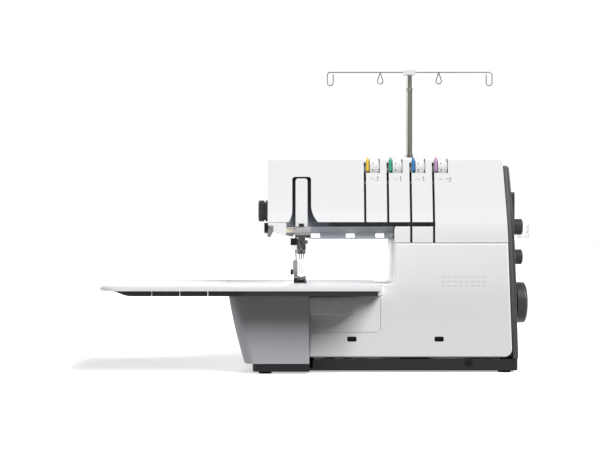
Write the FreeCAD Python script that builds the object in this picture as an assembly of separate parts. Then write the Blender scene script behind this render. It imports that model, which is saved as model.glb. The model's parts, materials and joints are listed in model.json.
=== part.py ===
import FreeCAD, Part

import math
import os

# Table-top cover stitch machine with a slide-on extension table.
# Lengths are in millimetres. X runs along the machine, Y to its rear and Z up.
# A depth is measured from the face of the front cover towards the rear.

Vector = FreeCAD.Vector

# Main heights and depths of the body
FACE_Y = -95.0
FOOT_HEIGHT = 3.0
PAN_TOP = 19.0
COVER_BOTTOM = 21.3
SEAM = 179.4
GROOVE_LOW = 202.0
GROOVE_HIGH = 208.0
BODY_TOP = 298.0
LEAN = 20.0
FACE_BEND = 150.0
PARTING = 75.0
BODY_REAR = 148.0
WALL = 2.6

# Main places along the machine
ARM_LEFT = -82.6
BED_SPLIT = -25.0
BED_RIGHT = 74.0
PILLAR_LEFT = 92.4
BED_TOP = 122.6
BED_FRONT = -18.0
BED_REAR = 122.0

# Right side panel, as X at three heights
PANEL_TOP = 286.6
PANEL_BOTTOM = 19.6
PANEL_INSIDE = (244.8, 250.0, 255.9)
PANEL_OUTSIDE = (252.6, 259.2, 263.7)
PANEL_BEND = 4000.0

# Shafts and bars
SHAFT_DEPTH = 55.0
MAIN_SHAFT_Z = 94.5
ARM_SHAFT_Z = 262.0
MAIN_SHAFT_R = 6.0
ARM_SHAFT_R = 5.0
CRANK_THROW = 13.5
NEEDLE_X = -36.0
NEEDLE_PITCH = 2.8
NEEDLE_TIP_Z = 132.0
PRESSER_X = -45.0
PRESSER_DEPTH = 70.0
NEEDLE_BAR_R = 3.5
PRESSER_BAR_R = 3.0
BUSH_LOW = 194.2
LIFTER_X = -37.0
LIFTER_Z = 218.0
RUNNING_FIT = 0.05
PUSH_FIT = 0.02

# Thread paths
SLOT_X = (52.2, 83.9, 115.6, 147.1)
SLOT_WIDTH = 3.2
DIAL_DEPTH = 33.5
DIAL_Z = 283.0
DIAL_R = 16.0
DIAL_WIDTH = 13.2

# Controls on the ends
KNOB_DEPTH = 66.0
LENGTH_KNOB_Z = 201.4
DIFFERENTIAL_KNOB_Z = 158.7
LEVER_DEPTH = 50.0
LEVER_Z = 217.0
PRESSURE_DEPTH = 58.0
PRESSURE_Z = 224.0
SWITCH_X = 256.0
SWITCH_DEPTH = (104.0, 124.0)
SWITCH_Z = 79.0
SWITCH_PIVOT_R = 1.6

# Front cover hinge
HINGE_DEPTH = 4.0
HINGE_Z = 24.5
HINGE_R = 1.5

# Motor
MOTOR_DEPTH = 112.0
MOTOR_Z = 48.0
MOTOR_R = 26.0

# Thread stand
MAST_X = 128.0
MAST_DEPTH = 205.0
TRAY_Z = (181.5, 204.0)
TRAY_X = (-50.0, 307.5)
TRAY_DEPTH = (160.0, 265.0)
SPOOL_X = (8.0, 84.0, 173.0, 249.6)
LOWER_TUBE_R = 5.5
MIDDLE_TUBE_R = 4.8
TOP_ROD_R = 4.2
CAP_Z = (432.0, 441.0)
WIRE_Z = 436.2
WIRE_R = 0.85

# Extension table
TABLE_X = (-307.5, 74.2)
TABLE_DEPTH = (-75.0, 172.0)
TABLE_LIP_Z = 116.0
TABLE_TOP = 122.6
RAIL_Z = 108.8


def point(x, depth, z):
    return Vector(x, FACE_Y + depth, z)


def block(x, depth, z):
    corner = point(x[0], depth[0], z[0])
    return Part.makeBox(x[1] - x[0], depth[1] - depth[0], z[1] - z[0], corner)


def rod_x(x, depth, z, radius):
    return Part.makeCylinder(radius, x[1] - x[0], point(x[0], depth, z), Vector(1, 0, 0))


def rod_y(x, depth, z, radius):
    return Part.makeCylinder(radius, depth[1] - depth[0], point(x, depth[0], z), Vector(0, 1, 0))


def rod_z(x, depth, z, radius):
    return Part.makeCylinder(radius, z[1] - z[0], point(x, depth, z[0]), Vector(0, 0, 1))


def tube_x(x, depth, z, outer, inner):
    return rod_x(x, depth, z, outer).cut(rod_x(x, depth, z, inner))


def tube_z(x, depth, z, outer, inner):
    return rod_z(x, depth, z, outer).cut(rod_z(x, depth, z, inner))


def rounded_corner(before, here, after):
    # Start, middle and end of the arc that rounds one corner of an outline
    corner = Vector(here[0], here[1], 0)
    if len(here) < 3:
        return corner, None, corner
    back = Vector(before[0], before[1], 0).sub(corner).normalize()
    ahead = Vector(after[0], after[1], 0).sub(corner).normalize()
    half = back.getAngle(ahead) / 2
    reach = here[2] / math.tan(half)
    inward = back.add(ahead).normalize()
    middle = corner.add(inward * (here[2] / math.sin(half) - here[2]))
    return corner.add(back * reach), middle, corner.add(ahead * reach)


def outline(corners, place):
    # Closed face through (a, b) or (a, b, radius) corners
    count = len(corners)
    joins = []
    for index in range(count):
        after = corners[(index + 1) % count]
        joins.append(rounded_corner(corners[index - 1], corners[index], after))
    edges = []
    for index, (start, middle, end) in enumerate(joins):
        following = joins[(index + 1) % count][0]
        if middle is not None:
            edges.append(Part.Arc(place(start), place(middle), place(end)).toShape())
        if following.sub(end).Length > 1e-6:
            edges.append(Part.LineSegment(place(end), place(following)).toShape())
    return Part.Face(Part.Wire(edges))


def front_face(corners, depth):
    return outline(corners, lambda spot: point(spot.x, depth, spot.y))


def side_face(corners, x):
    return outline(corners, lambda spot: point(x, spot.x, spot.y))


def plan_face(corners, z):
    return outline(corners, lambda spot: point(spot.x, spot.y, z))


def front_prism(corners, depth, inset=0.0):
    face = front_face(corners, depth[0])
    if inset:
        face = face.makeOffset2D(-inset)
    return face.extrude(Vector(0, depth[1] - depth[0], 0))


def side_prism(corners, x):
    return side_face(corners, x[0]).extrude(Vector(x[1] - x[0], 0, 0))


def plan_prism(corners, z, inset=0.0):
    face = plan_face(corners, z[0])
    if inset:
        face = face.makeOffset2D(-inset)
    return face.extrude(Vector(0, 0, z[1] - z[0]))


def turned_x(profile, depth, z):
    # Solid of revolution about an X axis, from (x, radius) corners
    face = outline(profile, lambda spot: point(spot.x, depth, z + spot.y))
    return face.revolve(point(0, depth, z), Vector(1, 0, 0), 360)


def joined(first, *others):
    shape = first.fuse(list(others)).removeSplitter()
    if len(shape.Solids) == 1:
        return shape.Solids[0]
    return shape


def trimmed(shape, *tools):
    result = shape.cut(list(tools))
    if len(result.Solids) == 1:
        return result.Solids[0]
    return result


def serrated_x(shape, x, depth, z, radius, count):
    # Cuts fine grip grooves along the rim of a wheel that turns about an X axis
    grooves = []
    for step in range(count):
        angle = 2 * math.pi * step / count
        grooves.append(rod_x(x, depth + radius * math.cos(angle), z + radius * math.sin(angle), 0.7))
    return trimmed(shape, *grooves)


def group(shapes):
    return Part.makeCompound(list(shapes))


def rounded(shape, radius, chosen):
    return shape.makeFillet(radius, [edge for edge in shape.Edges if chosen(edge)])


def lies_at_depth(depth):
    y = FACE_Y + depth
    return lambda edge: abs(edge.BoundBox.YMin - y) < 0.01 and abs(edge.BoundBox.YMax - y) < 0.01


def lies_at_height(z):
    return lambda edge: abs(edge.BoundBox.ZMin - z) < 0.01 and abs(edge.BoundBox.ZMax - z) < 0.01


def face_depth(z):
    # The upper face is upright up to the groove and leans back above it
    return max(0.0, (z - GROOVE_HIGH) * LEAN / (BODY_TOP - GROOVE_HIGH))


def face_slab(x, z, behind):
    # Slab that follows the upper face, between two distances behind it
    heights = [z[0], z[1]]
    if z[0] < GROOVE_HIGH < z[1]:
        heights = [z[0], GROOVE_HIGH, z[1]]
    near = [(face_depth(height) + behind[0], height) for height in heights]
    far = [(face_depth(height) + behind[1], height) for height in reversed(heights)]
    return side_prism(near + far, x)


def rubber_feet():
    foot_radius = 9.0
    spots = ((-86.0, -4.0), (-86.0, 98.0), (60.0, 108.0), (246.0, 16.0), (246.0, 132.0))
    shapes = [rod_z(x, depth, (0, FOOT_HEIGHT), foot_radius) for x, depth in spots]
    # A plug of the same rubber closes a hole in the front of the base pan
    shapes.append(rod_y(195, (1.6, 3.0), 13.5, 5.4))
    return group(shapes)


def base_pan():
    left_top = 13.6
    floor = FOOT_HEIGHT + 3.0
    left_corners = [(-103, -16, 8), (BED_SPLIT, -16), (BED_SPLIT, 112), (-103, 112, 8)]
    right_corners = [(BED_SPLIT, 1.5), (263.2, 1.5, 5), (263.2, 146.5, 5), (PILLAR_LEFT, 146.5),
                     (PILLAR_LEFT, BED_REAR), (BED_SPLIT, BED_REAR)]
    left = plan_prism(left_corners, (FOOT_HEIGHT, left_top))
    right = plan_prism(right_corners, (FOOT_HEIGHT, PAN_TOP))
    # An upstand in the right front corner closes the rounded corner of the cover from behind
    upstand = block((243, 255), (13, 16), (PAN_TOP - 3, 36))
    left_space = block((-100, -20), (-13, 109), (floor, 30))
    right_space = block((-22, 260), (4.5, BED_REAR - 3), (floor, 30))
    rear_space = block((PILLAR_LEFT + 3, 260), (BED_REAR - 5, 143.5), (floor, 30))
    plug_seat = rod_y(195, (1.0, 3.0), 13.5, 5.5)
    pan = trimmed(joined(left, right), left_space, right_space, rear_space, plug_seat)
    post = block((251, 255), (13, 16), (floor - 1, PAN_TOP))
    return joined(pan, upstand, post)


def cast_frame():
    floor = FOOT_HEIGHT + 3.0
    plate = joined(block((-18, 250), (14, 116), (floor, 12)), block((98, 250), (110, 140), (floor, 12)))
    pedestal = block((24, 34), (37, 75), (12, 112))
    column = block((198, 208), (33, 82), (12, 276))
    column_top = block((198, 208), (33, 91), (200, 276))
    beam = block((-68, 208), (84, 91), (208, 262))
    lug = block((-10, 0), (43, 84), (249, 275))
    head_wall = block((-66, -20), (84, 91), (200, 262))
    lower_shelf = block((-66, -26), (43, 84), (200, 206))
    upper_shelf = block((-66, -26), (43, 84), (254, 260))
    looper_post = block((-3, 11), (78, 84), (12, 73))
    frame = joined(plate, pedestal, column, column_top, beam, lug, head_wall, lower_shelf,
                   upper_shelf, looper_post)
    main_bore = rod_x((0, 220), SHAFT_DEPTH, MAIN_SHAFT_Z, 9)
    arm_bore = rod_x((-12, 220), SHAFT_DEPTH, ARM_SHAFT_Z, 8)
    needle_bore = rod_z(NEEDLE_X, SHAFT_DEPTH, (198, 262), 6)
    presser_bore = rod_z(PRESSER_X, PRESSER_DEPTH, (198, 262), 6)
    lifter_bore = rod_y(LIFTER_X, (80, 95), LIFTER_Z, 4.2)
    looper_bore = rod_y(4, (70, 90), 66, 4 + RUNNING_FIT)
    return trimmed(frame, main_bore, arm_bore, needle_bore, presser_bore, lifter_bore, looper_bore)


def bearing_bushes():
    main_outer = 9 - PUSH_FIT
    arm_outer = 8 - PUSH_FIT
    bar_outer = 6 - PUSH_FIT
    main_inner = MAIN_SHAFT_R + RUNNING_FIT
    arm_inner = ARM_SHAFT_R + RUNNING_FIT
    needle_inner = NEEDLE_BAR_R + RUNNING_FIT
    presser_inner = PRESSER_BAR_R + RUNNING_FIT
    presser_low = tube_z(PRESSER_X, PRESSER_DEPTH, (BUSH_LOW, 206), bar_outer, presser_inner)
    ear = block((-53.5, -47), (66, 74), (BUSH_LOW, 199.6))
    ear = trimmed(ear, rod_z(PRESSER_X, PRESSER_DEPTH, (190, 210), 4.5))
    return group([
        tube_x((24, 34), SHAFT_DEPTH, MAIN_SHAFT_Z, main_outer, main_inner),
        tube_x((198, 208), SHAFT_DEPTH, MAIN_SHAFT_Z, main_outer, main_inner),
        tube_x((-10, 0), SHAFT_DEPTH, ARM_SHAFT_Z, arm_outer, arm_inner),
        tube_x((198, 208), SHAFT_DEPTH, ARM_SHAFT_Z, arm_outer, arm_inner),
        tube_z(NEEDLE_X, SHAFT_DEPTH, (197, 206), bar_outer, needle_inner),
        tube_z(NEEDLE_X, SHAFT_DEPTH, (254, 260), bar_outer, needle_inner),
        joined(presser_low, ear),
        tube_z(PRESSER_X, PRESSER_DEPTH, (254, 260), bar_outer, presser_inner),
    ])


def panel_edge(line, offset, top, bottom):
    # Corners of one edge of the right side panel, from its top to its bottom
    return [(line[0] + offset, top), (line[1] + offset, SEAM, PANEL_BEND), (line[2] + offset, bottom)]


def right_edge(z):
    # X of the inside line of the right panel at a height
    if z > SEAM:
        share = (z - SEAM) / (PANEL_TOP - SEAM)
        return PANEL_INSIDE[1] + share * (PANEL_INSIDE[0] - PANEL_INSIDE[1])
    share = (z - PANEL_BOTTOM) / (SEAM - PANEL_BOTTOM)
    return PANEL_INSIDE[2] + share * (PANEL_INSIDE[1] - PANEL_INSIDE[2])


def groove_opening():
    # Outer outline of the take-up groove in the head, flared at its foot
    return [(-58, 200), (-48.7, 217, 30), (-48.7, 271, 4), (-22.6, 271, 4), (-22.6, 217, 34), (-11, 206),
            (-11, 200)]


def front_housing():
    gap = 0.5
    sides = [(ARM_LEFT, GROOVE_HIGH), (ARM_LEFT, BODY_TOP, 7), (right_edge(BODY_TOP) - gap, BODY_TOP, 9),
             (right_edge(SEAM) - gap, SEAM + 0.3), (PILLAR_LEFT, SEAM + 0.3),
             (PILLAR_LEFT, GROOVE_LOW - 3, 8), (97.5, GROOVE_HIGH)]
    profile = [(0, SEAM + 0.3), (0, GROOVE_HIGH, FACE_BEND), (LEAN, BODY_TOP, 5), (PARTING, BODY_TOP),
               (PARTING, SEAM + 0.3)]
    solid = front_prism(sides, (-1, PARTING + 1)).common(side_prism(profile, (-100, 280)))
    inner_top = BODY_TOP - WALL
    inner_right = gap + WALL
    inner_sides = [(ARM_LEFT + WALL, 150), (ARM_LEFT + WALL, inner_top, 5),
                   (right_edge(BODY_TOP) - inner_right, inner_top, 7), (right_edge(SEAM) - inner_right, SEAM),
                   (right_edge(SEAM) - inner_right, 150)]
    inner_profile = [(WALL, 150), (WALL, GROOVE_HIGH), (face_depth(inner_top) + WALL, inner_top, 3),
                     (PARTING + 5, inner_top), (PARTING + 5, 150)]
    space = front_prism(inner_sides, (-1, PARTING + 6)).common(side_prism(inner_profile, (-100, 300)))
    shell = trimmed(solid, space)
    tools = [front_prism(groove_opening(), (-3, 30)),
             block((90, 149), (-3, 6), (GROOVE_LOW, GROOVE_HIGH)),
             rod_x((-90, -70), PRESSURE_DEPTH, PRESSURE_Z, 4.2)]
    for number, x in enumerate(SLOT_X):
        low = GROOVE_HIGH - 4 if number < 2 else SEAM - 2
        tools.append(block((x - SLOT_WIDTH / 2, x + SLOT_WIDTH / 2), (-3, 28), (low, 291)))
        tools.append(block((x + 2.2, x + 20.8), (-3, 48), (276.5, 305)))
    ribs = [groove_rib((101, 105)), groove_rib((129, 133))]
    return joined(trimmed(shell, *tools), *ribs)


def groove_rib(x):
    # Bridge behind the groove that carries the small face below it
    upper = block(x, (2, 12.5), (211, 214.5))
    back = block(x, (10.5, 12.5), (194, 214.5))
    lower = block(x, (2, 12.5), (194, 197.5))
    return joined(upper, back, lower)


def rear_housing():
    start = PARTING + 0.4
    gap = 0.5
    # The lower left corner is cut away to leave room for the tab of the foot lifter
    sides = [(ARM_LEFT, 206), (ARM_LEFT, BODY_TOP, 7), (right_edge(BODY_TOP) - gap, BODY_TOP, 9),
             (right_edge(SEAM) - gap, SEAM), (right_edge(COVER_BOTTOM) - gap, COVER_BOTTOM),
             (96, COVER_BOTTOM), (96, 186), (-26, 186), (-60, 192.5), (-72, 192.5), (-72, 206)]
    profile = [(start, COVER_BOTTOM), (start, BODY_TOP), (BODY_REAR, BODY_TOP, 10), (BODY_REAR, COVER_BOTTOM)]
    solid = front_prism(sides, (start - 1, BODY_REAR + 1)).common(side_prism(profile, (-100, 280)))
    inner_top = BODY_TOP - WALL
    inner_right = gap + WALL
    inner_sides = [(ARM_LEFT + WALL, 10), (ARM_LEFT + WALL, inner_top, 5),
                   (right_edge(BODY_TOP) - inner_right, inner_top, 7), (right_edge(SEAM) - inner_right, SEAM),
                   (300, SEAM), (300, 10)]
    inner_profile = [(start - 5, 10), (start - 5, inner_top), (BODY_REAR - WALL, inner_top, 8),
                     (BODY_REAR - WALL, 10)]
    space = front_prism(inner_sides, (0, BODY_REAR)).common(side_prism(inner_profile, (-100, 300)))
    shell = trimmed(solid, space)
    tools = [rod_y(LIFTER_X, (140, 155), LIFTER_Z, 3.5 + RUNNING_FIT)]
    for x, z in screw_spots():
        tools.append(rod_y(x, (140, 155), z, 3.5))
    for step in range(6):
        x = 128 + step * 12
        tools.append(block((x, x + 4), (140, 155), (40, 78)))
    return trimmed(shell, *tools)


def screw_spots():
    return ((-64, 282), (-64, 200), (220, 282), (106, 40), (236, 40))


def casing_screws():
    head_radius = 3.4
    shapes = []
    for x, z in screw_spots():
        head = rod_y(x, (BODY_REAR - WALL, BODY_REAR + 1.2), z, head_radius)
        cross = joined(block((x - 2, x + 2), (BODY_REAR, 152), (z - 0.5, z + 0.5)),
                       block((x - 0.5, x + 0.5), (BODY_REAR, 152), (z - 2, z + 2)))
        shapes.append(trimmed(head, cross))
    return group(shapes)


def arm_underside():
    top = GROOVE_LOW - 0.4
    low = 184.5
    chin = 18.0
    left = -74.6
    rear = BODY_REAR - WALL - 0.3
    right = PILLAR_LEFT - 0.5
    sides = [(left, top), (left, 193, 3), (-60, 191, 3), (-53, 188, 3), (-26, low, 3), (right, low),
             (right, top)]
    profile = [(5, top), (5, top - 0.6), (chin, 194), (chin, low, 1.5), (rear, low), (rear, top)]
    solid = front_prism(sides, (0, 150)).common(side_prism(profile, (-90, 100)))
    inner_sides = [(left + 2.4, 210), (left + 2.4, 195.4, 3), (-60, 193.4, 3), (-53, 190.5, 3),
                   (-26, low + 2.4, 3), (right - 2.4, low + 2.4), (right - 2.4, 210)]
    inner_profile = [(7.6, 210), (7.6, 202), (chin + 2.4, 195.6), (chin + 2.4, 170), (rear - 2.4, 170),
                     (rear - 2.4, 210)]
    space = front_prism(inner_sides, (0, 150)).common(side_prism(inner_profile, (-90, 100)))
    shell = trimmed(solid, space)
    # The cheek left of the bars comes forward almost to the upper face
    cheek = front_prism([(ARM_LEFT + 0.5, 207.5), (ARM_LEFT + 0.5, 203.2, 1), (left, 203.2), (left, 193, 3),
                         (-60, 191), (-57, 191), (-57, 207.5)], (1.2, 25))
    shell = joined(shell, cheek)
    presser_opening = block((-57, -46.5), (-2, 82), (170, 215))
    needle_opening = block((-46.6, -23.4), (-2, 82), (170, 190))
    needle_space = block((-46.6, -23.4), (25, 82), (170, 215))
    back = block((-58, -23.4), (82, 83.6), (189, 199.6))
    windows = [block((x[0], x[1]), (10, 21), (186.5, 192.3)) for x in lamp_spots()]
    shell = trimmed(shell, presser_opening, needle_opening, needle_space, *windows)
    return joined(shell, back)


def lamp_spots():
    return ((-22.7, -10.2), (26.0, 38.0), (67.0, 79.0))


def led_modules():
    fit = 0.1
    shapes = []
    for x in lamp_spots():
        shapes.append(block((x[0] + fit, x[1] - fit), (17.6, 20.3), (186.5 + fit, 192.3 - fit)))
    return group(shapes)


def bed_left(z):
    # X of the left edge of the bed casing, which narrows towards the floor
    low, high = 14.0, BED_TOP
    share = (z - low) / (high - low)
    return -114.5 - 34.5 * share + 10.5 * share * share


def bed_section(z, inset, right):
    left = bed_left(z) + inset
    front = BED_FRONT + inset
    rear = BED_REAR - inset
    radius = 16.0 - inset
    corners = [(left, front, radius), (right, front), (right, rear), (left, rear, radius)]
    return plan_face(corners, z).OuterWire


def bed_casing():
    low = 14.0
    skin = 2.6
    outer_heights = (low, 50.0, 88.0, BED_TOP)
    inner_heights = (low + skin, 50.0, 88.0, BED_TOP - skin)
    outer = Part.makeLoft([bed_section(z, 0.0, BED_SPLIT - 0.3) for z in outer_heights], True, False)
    inner = Part.makeLoft([bed_section(z, skin, BED_SPLIT + 20) for z in inner_heights], True, False)
    shell = trimmed(outer, inner)
    ledge = block((-62, BED_SPLIT - 0.3), (20, 104), (117.4, BED_TOP - skin + 0.1))
    boss = block((-33, -27), (-2, 10), (low + 1, 31))
    shell = joined(shell, ledge, boss)
    return trimmed(shell, block((-60.3, -20), (21.7, 102.3), (BED_TOP - skin, BED_TOP + 5)),
                   block((-57, -20), (25, 99), (110, 130)),
                   rod_x((-35, -20), HINGE_DEPTH, HINGE_Z, HINGE_R + PUSH_FIT))


def needle_plate():
    plate = block((-60, BED_SPLIT - 0.6), (22, 102), (BED_TOP - 2.4, BED_TOP))
    rear_slot = block((-44.6, -27.4), (59.4, 92.6), (110, 130))
    front_slot = block((-44.6, -27.4), (21.4 + 3, 50.6), (110, 130))
    needle_slot = block((-41.5, -30.5), (51.8, 58.2), (110, 130))
    return trimmed(plate, rear_slot, front_slot, needle_slot)


def throat_cover():
    left = BED_SPLIT + 0.2
    inside = PILLAR_LEFT + 3.0
    skin = 2.6
    fillet = 9.0
    top = block((left, BED_RIGHT), (BED_FRONT, BED_REAR), (BED_TOP - skin, BED_TOP))
    top_right = block((BED_RIGHT, inside), (13, BED_REAR), (BED_TOP - skin, BED_TOP))
    front_skirt = block((left, BED_RIGHT), (BED_FRONT, BED_FRONT + skin), (107.5, BED_TOP))
    right_skirt = block((BED_RIGHT - skin, BED_RIGHT), (BED_FRONT, 14), (107.5, BED_TOP))
    rear_skirt = block((left, inside), (BED_REAR - skin, BED_REAR), (COVER_BOTTOM, BED_TOP))
    wall = block((PILLAR_LEFT, inside), (13, BODY_REAR - 3), (BED_TOP - skin, 184.2))
    low_wall = block((PILLAR_LEFT, inside), (BED_REAR - skin, BODY_REAR - 3), (COVER_BOTTOM, BED_TOP))
    corner = block((PILLAR_LEFT - fillet, PILLAR_LEFT), (13, BED_REAR), (BED_TOP, BED_TOP + fillet))
    corner = trimmed(corner, rod_y(PILLAR_LEFT - fillet, (0, 140), BED_TOP + fillet, fillet))
    return joined(top, top_right, front_skirt, right_skirt, rear_skirt, wall, low_wall, corner)


def cover_corners():
    gap = 0.6
    return [(BED_SPLIT, COVER_BOTTOM, 3), (BED_SPLIT, 105.8), (BED_RIGHT + 0.8, 105.8),
            (BED_RIGHT + 0.8, BED_TOP - 0.2), (PILLAR_LEFT, BED_TOP - 0.2, 9), (PILLAR_LEFT, SEAM - 0.5),
            (right_edge(SEAM) - gap, SEAM - 0.5),
            (right_edge(COVER_BOTTOM) - gap, COVER_BOTTOM, 11)]


def door_corners(gap):
    return [(BED_SPLIT - 2, 56 - gap), (BED_SPLIT - 2, 110), (73 + gap, 110), (73 + gap, 56 - gap, 6)]


def hook_slots():
    return ((27.0, 40.0), (147.5, 160.4))


def front_cover():
    rim = 12.0
    skin = 2.8
    solid = rounded(front_prism(cover_corners(), (0, rim)), 2.0, lies_at_depth(0))
    inside = front_prism(cover_corners(), (skin, rim + 5), skin)
    shell = trimmed(solid, inside)
    left_lug = rod_x((BED_SPLIT, BED_SPLIT + 8), HINGE_DEPTH, HINGE_Z, 3.2)
    right_lug = rod_x((233, 243), HINGE_DEPTH, HINGE_Z, 3.2)
    shell = joined(shell, left_lug, right_lug)
    bore = rod_x((BED_SPLIT - 5, 270), HINGE_DEPTH, HINGE_Z, HINGE_R + RUNNING_FIT)
    pocket = front_prism(door_corners(0.5), (-1, 1.4))
    slots = []
    boxes = []
    for x in hook_slots():
        boxes.append(block((x[0] - 1.5, x[1] + 1.5), (skin - 0.5, 9.5), (41.5, 51.5)))
        slots.append(front_prism([(x[0], 43, 2), (x[1], 43, 2), (x[1], 50, 2), (x[0], 50, 2)], (-1, 8)))
    return trimmed(joined(shell, *boxes), bore, pocket, *slots)


def looper_door():
    plate = front_prism(door_corners(0.0), (0.05, 1.35))
    frame = front_prism([(BED_SPLIT + 0.4, 50), (BED_SPLIT + 0.4, 105.4), (90, 105.4), (90, 50)], (-2, 4))
    plate = plate.common(frame)
    low, high = 81.5, 105.4
    profile = [(0.2, high), (-15, high, 2), (-20, 101, 3), (-20, low, 2), (0.2, low)]
    end = [(BED_SPLIT + 0.4, low), (36.5, low, 3), (41.5, 89, 8), (42.8, high), (BED_SPLIT + 0.4, high)]
    ledge = side_prism(profile, (BED_SPLIT, 60)).common(front_prism(end, (-25, 5)))
    return joined(plate, ledge)


def hinge_pins():
    return group([rod_x((BED_SPLIT - 8, BED_SPLIT + 7), HINGE_DEPTH, HINGE_Z, HINGE_R),
                  rod_x((234, 262), HINGE_DEPTH, HINGE_Z, HINGE_R)])


def panel_depths(front, rear):
    # Room between the leaning front and the upright rear of the side panel
    top = PANEL_TOP + 5
    profile = [(front, 0), (front, GROOVE_HIGH, FACE_BEND), (front + face_depth(top), top), (rear, top),
               (rear, 0)]
    return side_prism(profile, (200, 300))


def right_panel():
    outside = panel_edge(PANEL_OUTSIDE, 0.0, PANEL_TOP, PANEL_BOTTOM)
    inside = panel_edge(PANEL_INSIDE, 0.0, PANEL_TOP, PANEL_BOTTOM)
    outside[0] = (outside[0][0], outside[0][1], 4.5)
    corners = outside + list(reversed(inside))
    solid = front_prism(corners, (-5, BODY_REAR)).common(panel_depths(-0.4, BODY_REAR))

    def outer_front(edge):
        box = edge.BoundBox
        return box.XMin > 247 and box.YMax < FACE_Y + LEAN and box.ZLength > 20

    solid = rounded(solid, 2.2, outer_front)
    skin = 3.0
    far = panel_edge(PANEL_OUTSIDE, -skin, PANEL_TOP - 6, 36)
    space = front_prism(far + [(230, 36), (230, PANEL_TOP - 6)], (-5, BODY_REAR))
    space = space.common(panel_depths(4, BODY_REAR - 4))
    holes = [rod_x((230, 280), SHAFT_DEPTH, MAIN_SHAFT_Z, 7),
             rod_x((230, 280), KNOB_DEPTH, LENGTH_KNOB_Z, 4 + RUNNING_FIT),
             rod_x((230, 280), KNOB_DEPTH, DIFFERENTIAL_KNOB_Z, 4 + RUNNING_FIT),
             rod_x((230, 280), LEVER_DEPTH, LEVER_Z, 3.5 + RUNNING_FIT),
             rod_x((230, 262.1), HINGE_DEPTH, HINGE_Z, HINGE_R + PUSH_FIT),
             block((230, 280), (100, 128), (36, 60)),
             block((230, 280), (SWITCH_DEPTH[0] - 1, SWITCH_DEPTH[1] + 1), (66, 92))]
    return trimmed(solid, space, *holes)


def power_inlet():
    body = block((238, 262.2), (100.2, 127.8), (36.2, 59.8))
    socket = block((246, 270), (103, 125), (39, 57))
    pins = [rod_x((244, 258), depth, 48, 1.4) for depth in (109.0, 119.0)]
    # Two ears above the socket carry the switch
    ears = [block((248, 257.6), depth, (59, 83.5)) for depth in ((100.2, 102.2), (125.8, 127.8))]
    pivot = rod_y(SWITCH_X, (95, 135), SWITCH_Z, SWITCH_PIVOT_R + RUNNING_FIT)
    return trimmed(joined(trimmed(body, socket), *(pins + ears)), pivot)


def power_switch():
    front, rear = SWITCH_DEPTH
    profile = [(SWITCH_X - 7, SWITCH_Z - 10), (SWITCH_X + 5, SWITCH_Z - 11.5, 1),
               (SWITCH_X + 8, SWITCH_Z, 20), (SWITCH_X + 5, SWITCH_Z + 11.5, 1),
               (SWITCH_X - 7, SWITCH_Z + 10)]
    rocker = front_prism(profile, SWITCH_DEPTH)
    rocker.rotate(point(SWITCH_X, 0, SWITCH_Z), Vector(0, 1, 0), -7)
    pivot = rod_y(SWITCH_X, (front - 3.2, rear + 3.2), SWITCH_Z, SWITCH_PIVOT_R)
    return joined(rocker, pivot)


def thread_channel():
    shapes = []
    for number, x in enumerate(SLOT_X):
        low = GROOVE_HIGH + 2.5 if number < 2 else SEAM + 1
        outer = face_slab((x - 3.5, x + 3.5), (low, 260), (WALL + 0.05, 7.2))
        inner = face_slab((x - 2.5, x + 2.5), (low - 1, 261), (WALL - 1, 6.0))
        shapes.append(trimmed(outer, inner))
    shapes.append(block((-20, 150), (8.4, 9.6), (GROOVE_LOW, GROOVE_HIGH + 2)))
    back = face_slab((-56.6, -12), (GROOVE_LOW + 1, 275), (10.0, 11.5))
    sides = [face_slab((x, x + 1.5), (213, 275), (WALL + 0.05, 10.0)) for x in (-53.5, -19.5)]
    shapes.append(joined(back, *sides))
    return group(shapes)


def take_up_cover():
    corners = [(-44.1, 202), (-44.1, 268.6, 3.5), (-27.6, 268.6, 3.5), (-27.6, 202)]
    tongue = front_prism(corners, (-3, 40)).common(face_slab((-60, -10), (202, 290), (0.0, 3.0)))
    stem = face_slab((-39, -33), (225, 255), (2.0, 9.95))
    notch = block((-39.8, -32.4), (-2, 5), (200, 206))
    return trimmed(joined(tongue, stem), notch)


def thread_tabs():
    shapes = []
    for x in SLOT_X:
        slab = face_slab((x + 2.35, x + 5.35), (278, 299.2), (-1.2, 5.0))
        shapes.append(slab)
    return group(shapes)


def tension_rack():
    post_radius = 3.0
    bar = block((-10, 208), (52, 60), (284, 290))
    left_foot = block((-10, 0), (52, 60), (275, 285))
    right_foot = block((198, 208), (52, 60), (276, 285))
    pieces = [left_foot, right_foot]
    for x in SLOT_X:
        pieces.append(block((x - 6.5, x - 3.5), (29, 56), (277, 290)))
        pieces.append(rod_x((x - 5, x + 21), DIAL_DEPTH, DIAL_Z, post_radius))
        pieces.append(rod_x((x - 1.6, x - 0.6), DIAL_DEPTH, DIAL_Z, 9))
        pieces.append(rod_x((x + 0.6, x + 1.6), DIAL_DEPTH, DIAL_Z, 9))
    return joined(bar, *pieces)


def tension_dial(x):
    start = x + 6.8
    end = start + DIAL_WIDTH
    bore = 3.0 + RUNNING_FIT
    profile = [(start, bore), (start, DIAL_R, 1), (end, DIAL_R, 1), (end, bore)]
    wheel = turned_x(profile, DIAL_DEPTH, DIAL_Z)
    return serrated_x(wheel, (end - 4.5, end + 1), DIAL_DEPTH, DIAL_Z, DIAL_R + 0.2, 40)


def main_shaft():
    shaft = rod_x((16, 266), SHAFT_DEPTH, MAIN_SHAFT_Z, MAIN_SHAFT_R)
    crank = rod_x((16, 21), SHAFT_DEPTH, MAIN_SHAFT_Z, 12)
    feed_cam = rod_x((40, 48), SHAFT_DEPTH, MAIN_SHAFT_Z + 3, 13)
    return joined(shaft, crank, feed_cam)


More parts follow.
